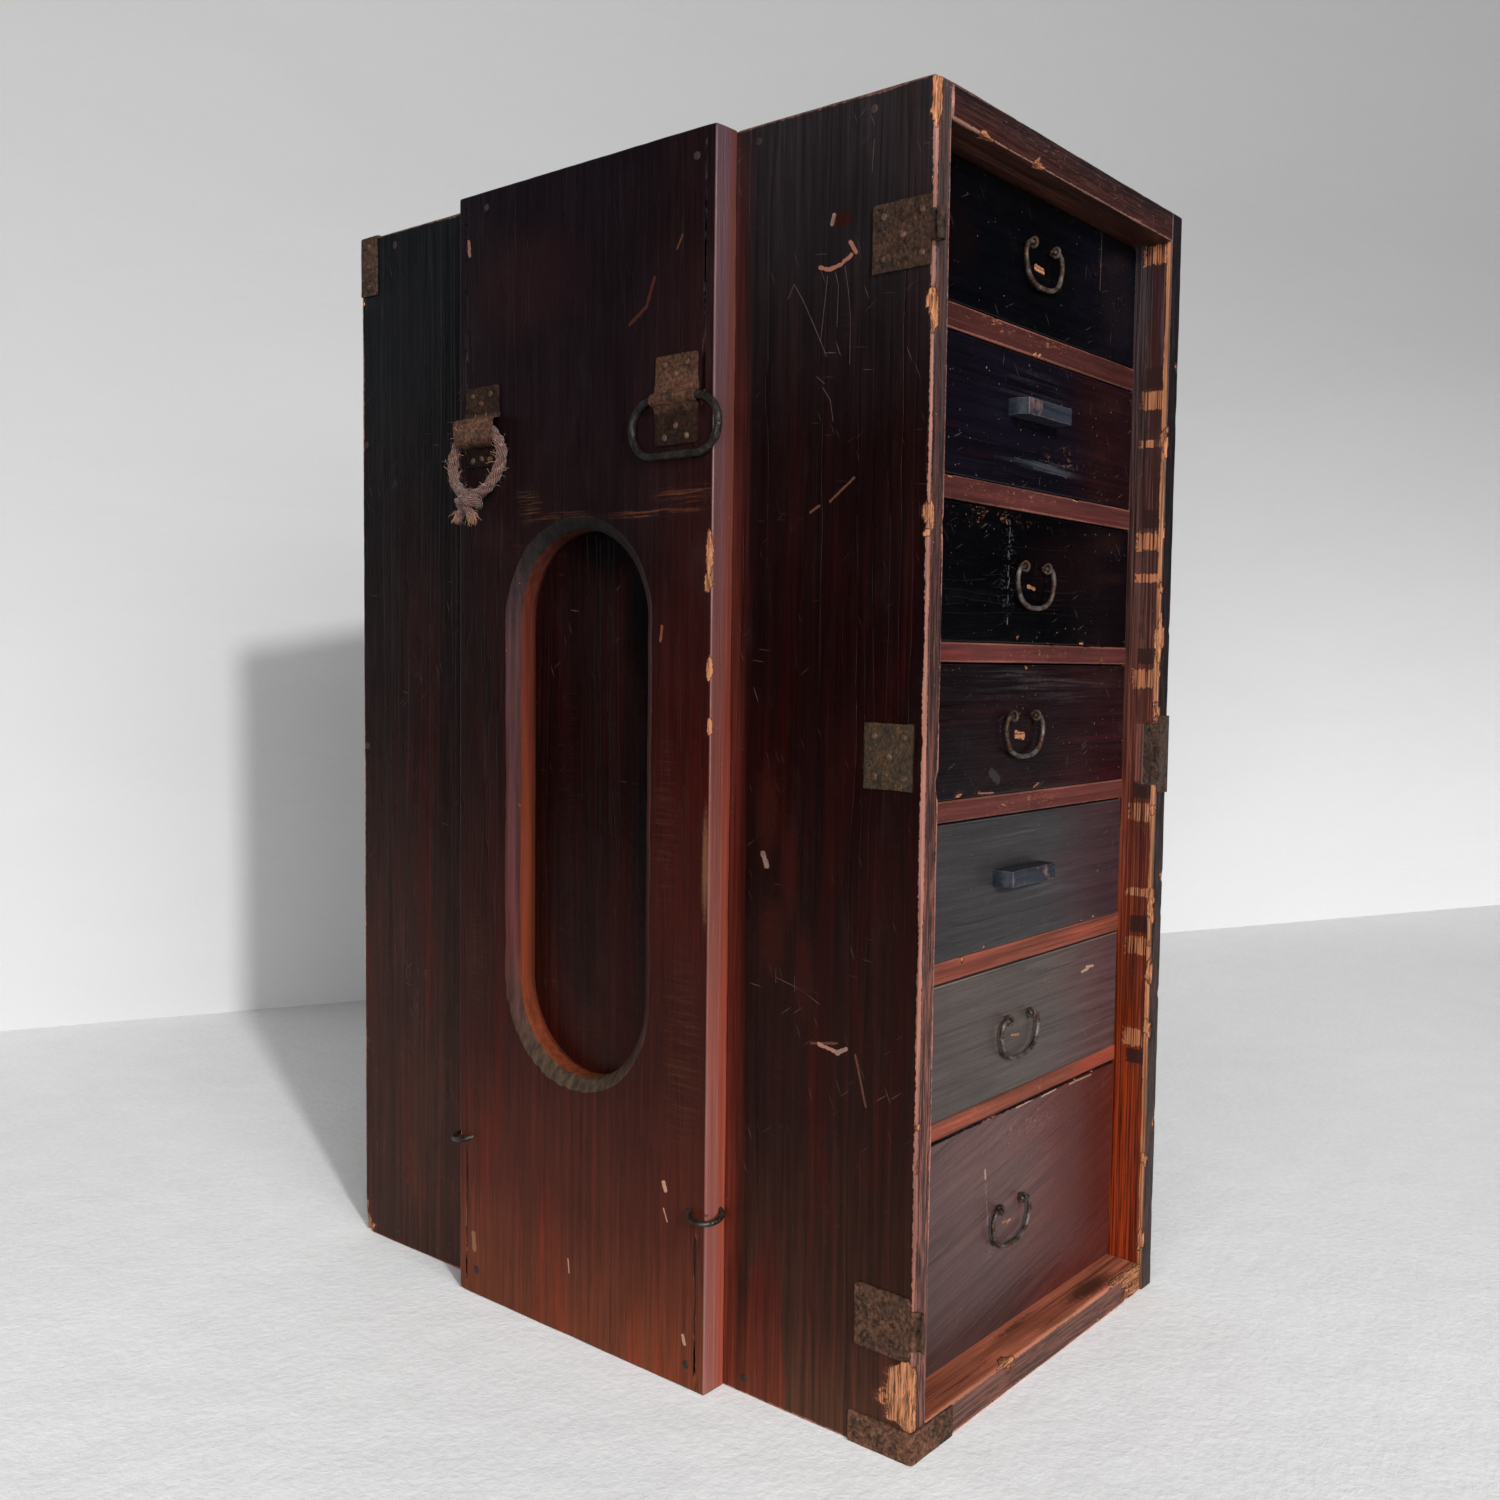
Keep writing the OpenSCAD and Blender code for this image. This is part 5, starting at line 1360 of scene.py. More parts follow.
# Soft patches in millimetres: middle y, z, half sizes along them, tone and kind
PLANK_SMUDGES = [(-88, 505, 30, 7, (0.07, 0.024, 0.011), "streaks"),
    (-63, 495.5, 46, 3.4, (0.085, 0.03, 0.013), "streaks"),
    (12, 497.5, 34, 4, (0.055, 0.02, 0.01), "streaks"),
    (42, 506, 14, 14, (0.05, 0.024, 0.012), "streaks"),
    (70, 486, 18, 10, (0.018, 0.0055, 0.004), "streaks"),
    (52, 478, 20, 11, (0.022, 0.008, 0.0045), "streaks"),
    (-74, 320, 12, 70, (0.04, 0.009, 0.005), "streaks"),
    (-88, 190, 20, 80, (0.045, 0.016, 0.008), "streaks"),
    (90, 220, 14, 50, (0.03, 0.014, 0.008), "streaks"), (-104, 300, 3, 40, (0.12, 0.052, 0.028), "plain"),
    (45, 640, 60, 40, (0.01, 0.003, 0.0035), "plain")]
# Places where the plank's front arris lost its lacquer, in millimetres: y from the arris, z, half sizes
PLANK_CHIPS = [(2.2, 471.5, 3.6, 18.5), (3, 456, 4, 8), (1.6, 408.5, 3, 10.5), (1, 377, 2.4, 8)]


class CABINET_OT_plank(bpy.types.Operator):
    """The carrier plank with its long round-ended hole and chipped rim"""

    bl_idname = "cabinet.plank"
    bl_label = "Carrier plank"

    def execute(self, context):
        low, high = PLANK_LOW, PLANK_HIGH
        points, faces, from_rim, wall = plank_rings(low, high)
        edge = low[1]
        places = [((low[0], edge, 0.468), (0.004, 0.003, 0.012), 0.35),
            ((low[0], edge, 0.408), (0.004, 0.0025, 0.008), 0.3),
            ((low[0], edge, STAPLE_Z), (0.006, 0.006, 0.004), 0.9),
            ((low[0], high[1], STAPLE_Z), (0.006, 0.006, 0.004), 0.8),
            ((low[0], edge, 0.012), (0.006, 0.004, 0.006), 0.6),
            ((low[0], high[1], 0.0), (0.006, 0.006, 0.006), 0.6),
            ((low[0], edge, 0.70), (0.006, 0.006, 0.006), 0.6)]
        moved, from_arris, bare = worn(points, low, high, 31, chips=0.5, places=places)
        from_arris = np.minimum(from_arris, from_rim + 0.0006)
        on_rim = soft_step(0.0022 - from_rim, 0, 0.0022)
        on_rim *= soft_step(cloud(points, 0.012, 33, 3), 0.15, 0.6)
        bare = np.clip(bare + 0.5 * on_rim, 0, 1)
        plank = new_mesh("carrier_plank_worn", moved, faces, arris=from_arris, bare=bare, wall=wall)
        marks = [((PLANK_X, y0 / MM, z0 / MM), (PLANK_X, y1 / MM, z1 / MM), wide / MM, tone)
            for y0, z0, y1, z1, wide, tone in PLANK_MARKS]
        smudges = [((PLANK_X, y / MM, z / MM), (0.002, wide / MM, tall / MM), (*tone, 0.6), kind)
            for y, z, wide, tall, tone, kind in PLANK_SMUDGES]
        smudges += [((PLANK_X, edge + y / MM, z / MM), (0.003, wide / MM, tall / MM), None, "plain")
            for y, z, wide, tall in PLANK_CHIPS]
        # The last entry of edge gives where painted light, reflected from the red side, turns the edge orange
        finish = lacquer("red_lacquer_plank", 2, PLANK_TONES,
            drift_to=(1, -0.03, -0.09, PLANK_RIGHT_TONES), edge=(edge, PLANK_EDGE_TONES, 0.12,
            (-0.156, -0.148)), gloss=0.28, hollow=(HOLE_WALL_TONES, HOLE_BEVEL_TONES), marks=marks,
            patches=smudges, rings=(40, 26), red=0.3, dust=0.05, figure=0.6, scratches=0.4, specks=0.6,
            rub=0.00035, rub_tone=(0.13, 0.085, 0.080), shift=1.3)
        dress(plank, finish, "case", ["carrier_plank"])
        return {"FINISHED"}


# Rails, runners and drawers


class CABINET_OT_rails(bpy.types.Operator):
    """Front rails with chipped arrises, and the runners behind them"""

    bl_idname = "cabinet.rails"
    bl_label = "Rails and runners"

    def execute(self, context):
        tones = shades((150, 1320, 360, 220), (250, 1060, 285, 185), (330, 580, 165, 140),
            (420, 480, 135, 125), (600, 290, 86, 75))
        chips = [((x, FRONT_Y + 0.024, z), (wide, 0.03, 0.0065), (0.19, 0.080, 0.050, 0.85), "flecks")
            for x, z, wide in ((-0.01, 0.601, 0.085), (-0.015, 0.510, 0.070), (0.01, 0.4205, 0.05),
            (0.0, 0.3325, 0.06), (-0.02, 0.156, 0.09))]
        finish = lacquer("red_lacquer_rails", 0, tones, gloss=0.42, red=0.25, dust=0.08, specks=1.0,
            figure=0.8, patches=chips, rub=0.0008, rub_tone=(0.13, 0.050, 0.036), shift=11.4)
        for n in RAILS:
            node = f"front_rail_{n}"
            low, high = box_of(node)
            piece = worn_board(node + "_worn", low, high, (0.0022, 0.006, 0.004), 50 + n, chips=1.15)
            dress(piece, finish, "case", [node])
        finish_node("drawer_runners", plain_cedar("plain_cedar_runners", 1, tint("old_cedar"), 0.7))
        return {"FINISHED"}


class CABINET_OT_drawers(bpy.types.Operator):
    """Seven drawer fronts in faded lacquer, with their plain cedar boxes"""

    bl_idname = "cabinet.drawers"
    bl_label = "Drawers"

    # Left and right tone of each front, and how far red patches cover it
    TONES = {1: ((0.0004, 0.0005, 0.0011), (0.0009, 0.0011, 0.0030), 0.3),
        2: ((0.0024, 0.0018, 0.0040), (0.0058, 0.0015, 0.0021), 0.6),
        3: ((0.0002, 0.0002, 0.0006), (0.0010, 0.0006, 0.0014), 0.2),
        4: ((0.0038, 0.0020, 0.0026), (0.0088, 0.0030, 0.0042), 0.4),
        5: ((0.0175, 0.0160, 0.0168), (0.0205, 0.0106, 0.0125), 0.0),
        6: ((0.0390, 0.0303, 0.0267), (0.0450, 0.0240, 0.0235), 0.0),
        7: ((0.0540, 0.0268, 0.0250), (0.0500, 0.0105, 0.0080), 0.0)}
    GREY, BLUE = (0.11, 0.095, 0.09, 0.8), (0.055, 0.060, 0.072, 0.4)
    CREAM, ORANGE = (0.27, 0.16, 0.11, 0.85), (0.20, 0.080, 0.048, 0.75)
    RED, GAP_SHADOW = (0.0085, 0.0012, 0.0012, 0.6), (0.0030, 0.0018, 0.0018)
    DIM = (0.0030, 0.0009, 0.0011, 0.5)
    # In millimetres, scratches, and for drawer 7 the painted shadow of the gap under rail 6, as
    # ((x, z), (x, z), width, tone) and soft patches as ((x, z), (x, z) half sizes, tone, kind)
    SCARS_AND_GAP_SHADOW = {
        1: [((81.5, 680), (80.8, 645), 0.4, (0.1, 0.075, 0.06, 0.45))],
        2: [((-20, 531), (15, 529.5), 0.3, BLUE), ((2, 527.5), (45, 526.5), 0.3, BLUE)],
        4: [((-37.5, 351.5), (-30.5, 347.5), 3.4, (0.035, 0.032, 0.033, 0.4)),
            ((-50, 340.5), (-35, 340), 0.5, ORANGE), ((12, 340.5), (18, 342.5), 0.6, ORANGE)],
        6: [((81, 218), (90, 219), 1.1, CREAM), ((87, 220.5), (96.5, 219.5), 0.9, CREAM)],
        7: [((-34.9, 120.3), (-34.2, 115), 0.9, CREAM), ((-33.6, 112), (-32.8, 104), 0.4, GREY),
            ((-32.2, 101), (-30.3, 86), 0.4, GREY), ((0, 148.8), (20, 149.2), 0.6, CREAM),
            ((32, 148.6), (50, 149), 0.7, CREAM), ((68, 148.2), (98, 148), 0.7, CREAM),
            # Two near-black lines along drawer 7's top edge: painted shadow of the gap under rail 6
            ((-130, 150), (-20, 150.8), 1.5, GAP_SHADOW), ((-30, 150.6), (130, 150.2), 1.4, GAP_SHADOW)]}
    BLOTS = {
        1: [((-85, 640), (30, 26), DIM, "plain"), ((-60, 665), (40, 12), DIM, "streaks"),
            ((110, 640), (30, 40), (0.006, 0.0042, 0.005, 0.5), "plain")],
        2: [((-100, 535), (35, 18), RED, "streaks"), ((-55, 527), (30, 10), RED, "streaks"),
            ((35, 535), (25, 12), ORANGE, "flecks"), ((10, 529), (55, 8), BLUE, "streaks"),
            ((0, 572), (50, 12), (0.03, 0.028, 0.036, 0.4), "streaks")],
        3: [((45, 470), (60, 28), (0.004, 0.0012, 0.0014, 0.6), "plain"),
            ((-50, 495), (60, 6), ORANGE, "flecks"), ((-24, 470), (12, 40), BLUE, "flecks")],
        4: [((60, 400), (70, 14), (0.05, 0.04, 0.044, 0.35), "streaks"),
            ((-20, 405), (60, 12), (0.05, 0.04, 0.044, 0.35), "streaks")],
        5: [((-5, 312), (45, 12), BLUE, "streaks"), ((30, 280), (50, 12), BLUE, "streaks"),
            ((-6, 290), (34, 12), (0.006, 0.007, 0.009, 0.7), "plain")],
        6: [((30, 220), (20, 10), ORANGE, "flecks")],
        7: [((10, 135), (60, 12), ORANGE, "flecks"), ((-10, 68), (30, 6), CREAM, "flecks"),
            ((90, 95), (60, 80), (0.045, 0.0085, 0.006, 0.7), "plain")]}
    SPECKS = {1: 1.3, 2: 2.0, 3: 1.7, 4: 2.0, 5: 1.1, 6: 0.4, 7: 0.7}

    def execute(self, context):
        rng = np.random.default_rng(5)
        sides = plain_cedar("plain_cedar_sides", 1, tint("old_cedar"), 0.22)
        for n in DRAWERS:
            node = f"drawer_{n}_front"
            low, high = box_of(node)
            face, foot = low[1], low[2]
            tone, right_tone, red = self.TONES[n]
            marks = [((x0 / MM, face, z0 / MM), (x1 / MM, face, z1 / MM), wide / MM, tone)
                for (x0, z0), (x1, z1), wide, tone in self.SCARS_AND_GAP_SHADOW.get(n, ())]
            patches = [((x / MM, face, z / MM), (wide / MM, 0.004, tall / MM), tone, kind)
                for (x, z), (wide, tall), tone, kind in self.BLOTS.get(n, ())]
            if n == 3:
                # A dotted scar all the way down beside the pull
                for z in rng.uniform(foot + 0.008, high[2] - 0.006, 22):
                    x, tall = -0.0238 + rng.normal(0, 0.0005), rng.uniform(0.0003, 0.0040)
                    marks.append(((x, face, z), (x, face, z + tall), rng.uniform(0.0002, 0.0006),
                        (0.075, 0.070, 0.070, 0.55)))
            if n in RING_DRAWERS:
                pull_low, pull_high = box_of(f"ring_pull_{n}")
                x, z = (pull_low[0] + pull_high[0]) / 2, pull_high[2]
                amount = {1: 0.0022, 3: 0.0012, 4: 0.0026, 6: 0.0008, 7: 0.0012}[n]
                marks.append(((x - 0.004, face, z - 0.0125), (x + 0.004, face, z - 0.0135), amount, None))
            low_tone = tuple((0.66 if n == 7 else 1) * c for c in tone)
            finish = lacquer(f"drawer_lacquer_{n}", 0, [(foot, low_tone),
                (foot + 0.09 if n == 7 else high[2], tone)],
                drift_to=(0, -0.02 if n == 7 else 0.02, 0.09,
                [(foot, right_tone), (high[2], right_tone)]), gloss=0.24 if n < 5 else 0.30, mirror=0.09
                if n < 5 else 0.2, marks=marks, patches=patches, red=red, dust=0.03 if n < 5 else 0.12,
                specks=self.SPECKS[n], scratches=1.0 if n < 6 else 0.5, rings=(90, 14), figure=0.6
                if n > 4 else 1.0, rub=0.0004, rub_tone=tuple(3 * c for c in tone), shift=13.0 + 2.7 * n,
                lean=0.2 if n == 7 else 0.0)
            worn_low, worn_high = low + (0.00012, 0, 0.00012), high - (0.00012, 0, 0)
            worn_top = ((low[0], 0.03), (-0.03, 0.02), (0.03, 0.02), (0.09, 0.03)) if n == 7 else ()
            places = [((x, face, high[2]), (wide, 0.005, 0.003), 0.35) for x, wide in worn_top]
            piece = worn_board(node + "_worn", worn_low, worn_high, (0.0028, 0.006, 0.0028), 60 + n,
                chips=0.8 if n < 7 else 1.0, places=places, arris=0.0009)
            dress(piece, finish, f"drawer_{n}", [node])
            finish_node(f"drawer_{n}_box", sides)
            finish_node(f"drawer_{n}_bottom", sides)
        return {"FINISHED"}


class CABINET_OT_block_pulls(bpy.types.Operator):
    """Two bevelled wooden block pulls"""

    bl_idname = "cabinet.block_pulls"
    bl_label = "Block pulls"

    def execute(self, context):
        finish = stained_hardwood("dark_hardwood_pull")
        for n in BLOCK_DRAWERS:
            low, high = box_of(f"block_pull_{n}")
            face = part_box(f"drawer_{n}_front")[0].y
            high = np.array([high[0], face + 0.001, high[2]])
            points, faces = box_grid([lines(low[a], high[a], 0.0012, 0.0006) for a in range(3)])
            moved, from_arris, _ = worn(points, low, high, 70 + n, chips=0.4, arris=0.0008)
            # The two ends are cut back, and more so at the outer face
            outer = soft_step(high[1] - moved[:, 1], 0.006, high[1] - low[1])
            reach = np.abs(moved[:, 0] - (low[0] + high[0]) / 2) / ((high[0] - low[0]) / 2)
            side = np.sign(moved[:, 0] - (low[0] + high[0]) / 2)
            moved[:, 0] -= side * soft_step(reach, 0.8, 1) * outer * 0.0022
            moved += 0.0003 * np.stack([cloud(moved, 0.006, 75 + n + a) for a in range(3)], 1)
            piece = new_mesh(f"block_pull_{n}_worn", moved, faces, arris=from_arris)
            dress(piece, finish, f"drawer_{n}", [f"block_pull_{n}"])
        return {"FINISHED"}


# Ring pulls


class CABINET_OT_ring_pulls(bpy.types.Operator):
    """Five forged ring pulls in split-pin eyes"""

    bl_idname = "cabinet.ring_pulls"
    bl_label = "Ring pulls"

    def execute(self, context):
        rod, wire = sizes().pull_rod, sizes().eye_wire
        ring_finish = iron("forged_iron_pull", 0.35, metal=0.6, rough=0.42, bright=0.42)
        eye_finish = iron("forged_iron_eye", 0.45, metal=0.5, rough=0.5, bright=0.2)
        for n in RING_DRAWERS:
            hinge = next(j for j in frame["joints"] if j["name"] == f"ring_pull_{n}_hinge")["pos_m"]
            centre = Vector(hinge)
            low, high = box_of(f"ring_pull_{n}")
            half = (high[0] - low[0]) / 2 - rod / 2
            drop = centre.z - low[2] - rod / 2
            mid_x = (low[0] + high[0]) / 2
            bend, pin_end = 0.006, 0.0112
            right = [(pin_end, 0), (half - bend - 0.001, 0), (half - bend * 0.45, -0.0011),
                (half - 0.0006, -bend * 0.75), (half, -bend * 1.35), (half - 0.0009, -drop * 0.52),
                (half * 0.79, -drop * 0.80), (half * 0.42, -drop * 0.965)]
            shape = right + [(0, -drop)] + [(-x, z) for x, z in reversed(right)]
            path = smooth_path([(mid_x + x, centre.y, centre.z + z) for x, z in shape], 0.0009)
            share = np.abs(np.linspace(-1, 1, len(path)))
            radii = rod / 2 * (1.06 - 0.12 * share) * (1 + 0.035 * cloud(path, 0.006, 80 + n))
            radii[share > 0.86] = 0.0012 - 0.0001 * soft_step(share[share > 0.86], 0.94, 1)
            ring = new_mesh(f"ring_pull_{n}_forged", *swept(path, radii, 16))
            dress(ring, ring_finish, f"ring_pull_{n}", [f"ring_pull_{n}"])

            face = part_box(f"drawer_{n}_front")[0].y
            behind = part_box(f"drawer_{n}_front")[1].y
            eyes = []
            for side in (-1, 1):
                x = mid_x + side * (half - bend - 0.0023)
                for leg in (-1, 1):
                    eye = [(x, centre.y - 0.0001 + 0.0022 * math.cos(a),
                        centre.z + leg * 0.0026 * math.sin(a))
                        for a in np.radians([180, 150, 120, 90, 62])]
                    eye += [(x, centre.y + 0.0023, centre.z + leg * 0.0013),
                        (x, face + 0.0005, centre.z + leg * 0.0007),
                        (x, behind - 0.001, centre.z + leg * 0.0006),
                        (x, behind + 0.0006, centre.z + leg * 0.0016),
                        (x, behind + 0.0009, centre.z + leg * 0.0068)]
                    line = smooth_path(eye, 0.0005)
                    thick = np.interp(np.linspace(0, 1, len(line)), [0, 0.22, 0.35, 1],
                        [wire / 2, wire / 2, wire * 0.36, wire * 0.3])
                    eyes.append(swept(line, thick, 10))
            piece = new_mesh(f"pull_eyes_{n}_forged", *joined(*eyes))
            dress(piece, eye_finish, f"drawer_{n}", [f"pull_eyes_{n}"])
        return {"FINISHED"}


# Sheet iron and hardware


def sheet_grid(long, wide, thick, corner, seed, step=0.0012):
    """A hammered sheet laid flat: x along it from 0, y across it about 0, z its thickness."""
    low, high = np.array([0, -wide / 2, -thick / 2]), np.array([long, wide / 2, thick / 2])
    edge = sizes().iron_arris
    points, faces = box_grid([lines(low[a], high[a], step, edge) for a in range(3)])
    flat = points * (1, 1, 0)
    inset = np.array([low, high]) * (1, 1, 0)
    radius = np.full(len(points), corner)
    trimmed, _ = rounded(flat + (0, 0, 1), inset[0], inset[1] + (0, 0, 2), radius)
    points = np.c_[trimmed[:, :2], points[:, 2]]
    ragged = 0.00035 * cloud(points * (1, 1, 0), 0.006, seed, 3)
    toward = (points[:, :2] - (long / 2, 0)) / (long / 2, wide / 2)
    points[:, :2] += ragged[:, None] * np.clip(toward, -1, 1) ** 3
    points, _ = rounded(points, low - 0.001 * np.array([1, 1, 0]), high + 0.001 * np.array([1, 1, 0]),
        np.full(len(points), edge))
    points[:, 2] += 0.00012 * cloud(points * (1, 1, 0), 0.010, seed + 1, 2)
    return points, faces


def bent(points, profile, widen=None):
    """Bends a flat sheet along a profile of (first, second) places; gives (first, across, second)."""
    profile = np.asarray(profile, float)
    along_it = np.concatenate([[0], np.cumsum(np.linalg.norm(np.diff(profile, axis=0), axis=1))])
    tangent = np.gradient(profile, along_it, axis=0)
    tangent /= np.linalg.norm(tangent, axis=1, keepdims=True)
    at_u = np.clip(points[:, 0], 0, along_it[-1])
    spot = np.stack([np.interp(at_u, along_it, profile[:, a]) for a in range(2)], 1)
    way = np.stack([np.interp(at_u, along_it, tangent[:, a]) for a in range(2)], 1)
    way /= np.linalg.norm(way, axis=1, keepdims=True)
    normal = np.stack([-way[:, 1], way[:, 0]], 1)
    spot = spot + normal * points[:, 2:3] + way * (points[:, 0] - at_u)[:, None]
    across = points[:, 1] * (1 if widen is None else widen(at_u / along_it[-1]))
    return np.stack([spot[:, 0], across, spot[:, 1]], 1)


def strap_profile(up, down, tunnel, drop):
    """Middle line of a strap as (out from the plank, height), from its top down over the tunnel."""
    off, fillet = SHEET / 2, 0.0022
    over = tunnel + off
    quarter = np.radians(range(0, 91, 9))
    shape = [(off, HINGE_Z + up), (off, HINGE_Z + over + fillet)]
    shape += [(off + fillet * (1 - math.cos(a)), HINGE_Z + over + fillet * (1 - math.sin(a)))
        for a in np.radians([20, 45, 70, 90])]
    shape += [(tunnel + over * math.sin(a), HINGE_Z + over * math.cos(a)) for a in quarter]
    shape += [(tunnel + over * math.cos(a), HINGE_Z - drop - over * math.sin(a)) for a in quarter]
    shape += [(off + fillet * (1 - math.sin(a)), HINGE_Z - drop - over - fillet * (1 - math.cos(a)))
        for a in np.radians([0, 20, 45, 70, 90])]
    shape += [(off, HINGE_Z - down)]
    kept = [shape[0]]
    for place in shape[1:]:
        if math.dist(place, kept[-1]) > 2e-5:
            kept.append(place)
    return np.array(kept)


def length_of(profile):
    """A profile's length along its line."""
    return float(np.linalg.norm(np.diff(profile, axis=0), axis=1).sum())


class CABINET_OT_straps(bpy.types.Operator):
    """The two nailed straps with the carrying ring in one of them"""

    bl_idname = "cabinet.straps"
    bl_label = "Straps and carrying ring"

    def execute(self, context):
        light = {"ring_strap": ((0.532, 0.14), (0.5495, 0.16), (0.5535, 0.55), (0.5650, 0.66),
            (0.581, 0.42)), "rope_strap": ((0.525, 0.08), (0.5430, 0.14), (0.5490, 0.9), (0.5600, 0.9),
            (0.5650, 0.24), (0.581, 0.30))}
        for seed, (node, rust, flare) in enumerate((("ring_strap", 0.9, 1.0), ("rope_strap", 0.7, 1.12))):
            finish = iron("rusty_iron_" + node, rust, metal=0.05, rough=0.55, light=light[node])
            low, high = box_of(node)
            middle, wide = (low[1] + high[1]) / 2, high[1] - low[1]
            profile = strap_profile(high[2] - HINGE_Z, HINGE_Z - low[2], *STRAPS[node])
            points, faces = sheet_grid(length_of(profile), wide, SHEET, 0.0012, 90 + seed)

            def widen(share, flare=flare):
                upper = 0.93 + 0.07 * soft_step(share, 0.2, 0.36)
                lower = 1 - 0.06 * soft_step(share, 0.62, 0.8)
                return upper * (1 + (flare - 1) * np.exp(-(((share - 0.5) / 0.12) ** 2))) * lower

            shaped = bent(points, profile, widen)
            placed = np.stack([PLANK_X - shaped[:, 0], middle + shaped[:, 1], shaped[:, 2]], 1)
            piece = new_mesh(node + "_forged", placed, faces, 40)
            dress(piece, finish, "case", [node])

        bar = sizes().ring_bar / 2
        low, high = box_of("carrying_ring")
        x, middle = (low[0] + high[0]) / 2, (low[1] + high[1]) / 2
        end_r = (high[2] - low[2]) / 2 - bar
        straight = (high[1] - low[1]) / 2 - bar - end_r
        centre_z = (low[2] + high[2]) / 2
        path = np.concatenate([arc((x, middle + straight, centre_z), end_r, 90, -90, 40),
            [(x, middle + y, centre_z - end_r) for y in np.linspace(straight, -straight, 26)[1:-1]],
            arc((x, middle - straight, centre_z), end_r, -90, -270, 40),
            [(x, middle + y, centre_z + end_r) for y in np.linspace(-straight, straight, 26)[1:]]])
        radii = bar * (0.98 + 0.03 * cloud(path, 0.012, 97))
        # The ends of its bar meet in a lap low on one end
        lap = np.exp(-(((path[:, 1] - (middle - straight - end_r * 0.72)) / 0.0012) ** 2))
        lap = lap * (path[:, 2] < centre_z)
        radii = radii * (1 - 0.22 * lap + 0.16 * np.roll(lap, 3))
        radii[np.abs(path[:, 1] - middle) < straight] = bar * 0.985
        radii[-1] = radii[0]
        ring = new_mesh("carrying_ring_forged", *swept(path, radii, 18, closed=True))
        dress(ring, iron("forged_iron_ring", 0.0, metal=0.15, rough=0.30, bright=0.05,
            light=((0.5, 0.6), (0.6, 0.6))), "carrying_ring", ["carrying_ring"])
        return {"FINISHED"}


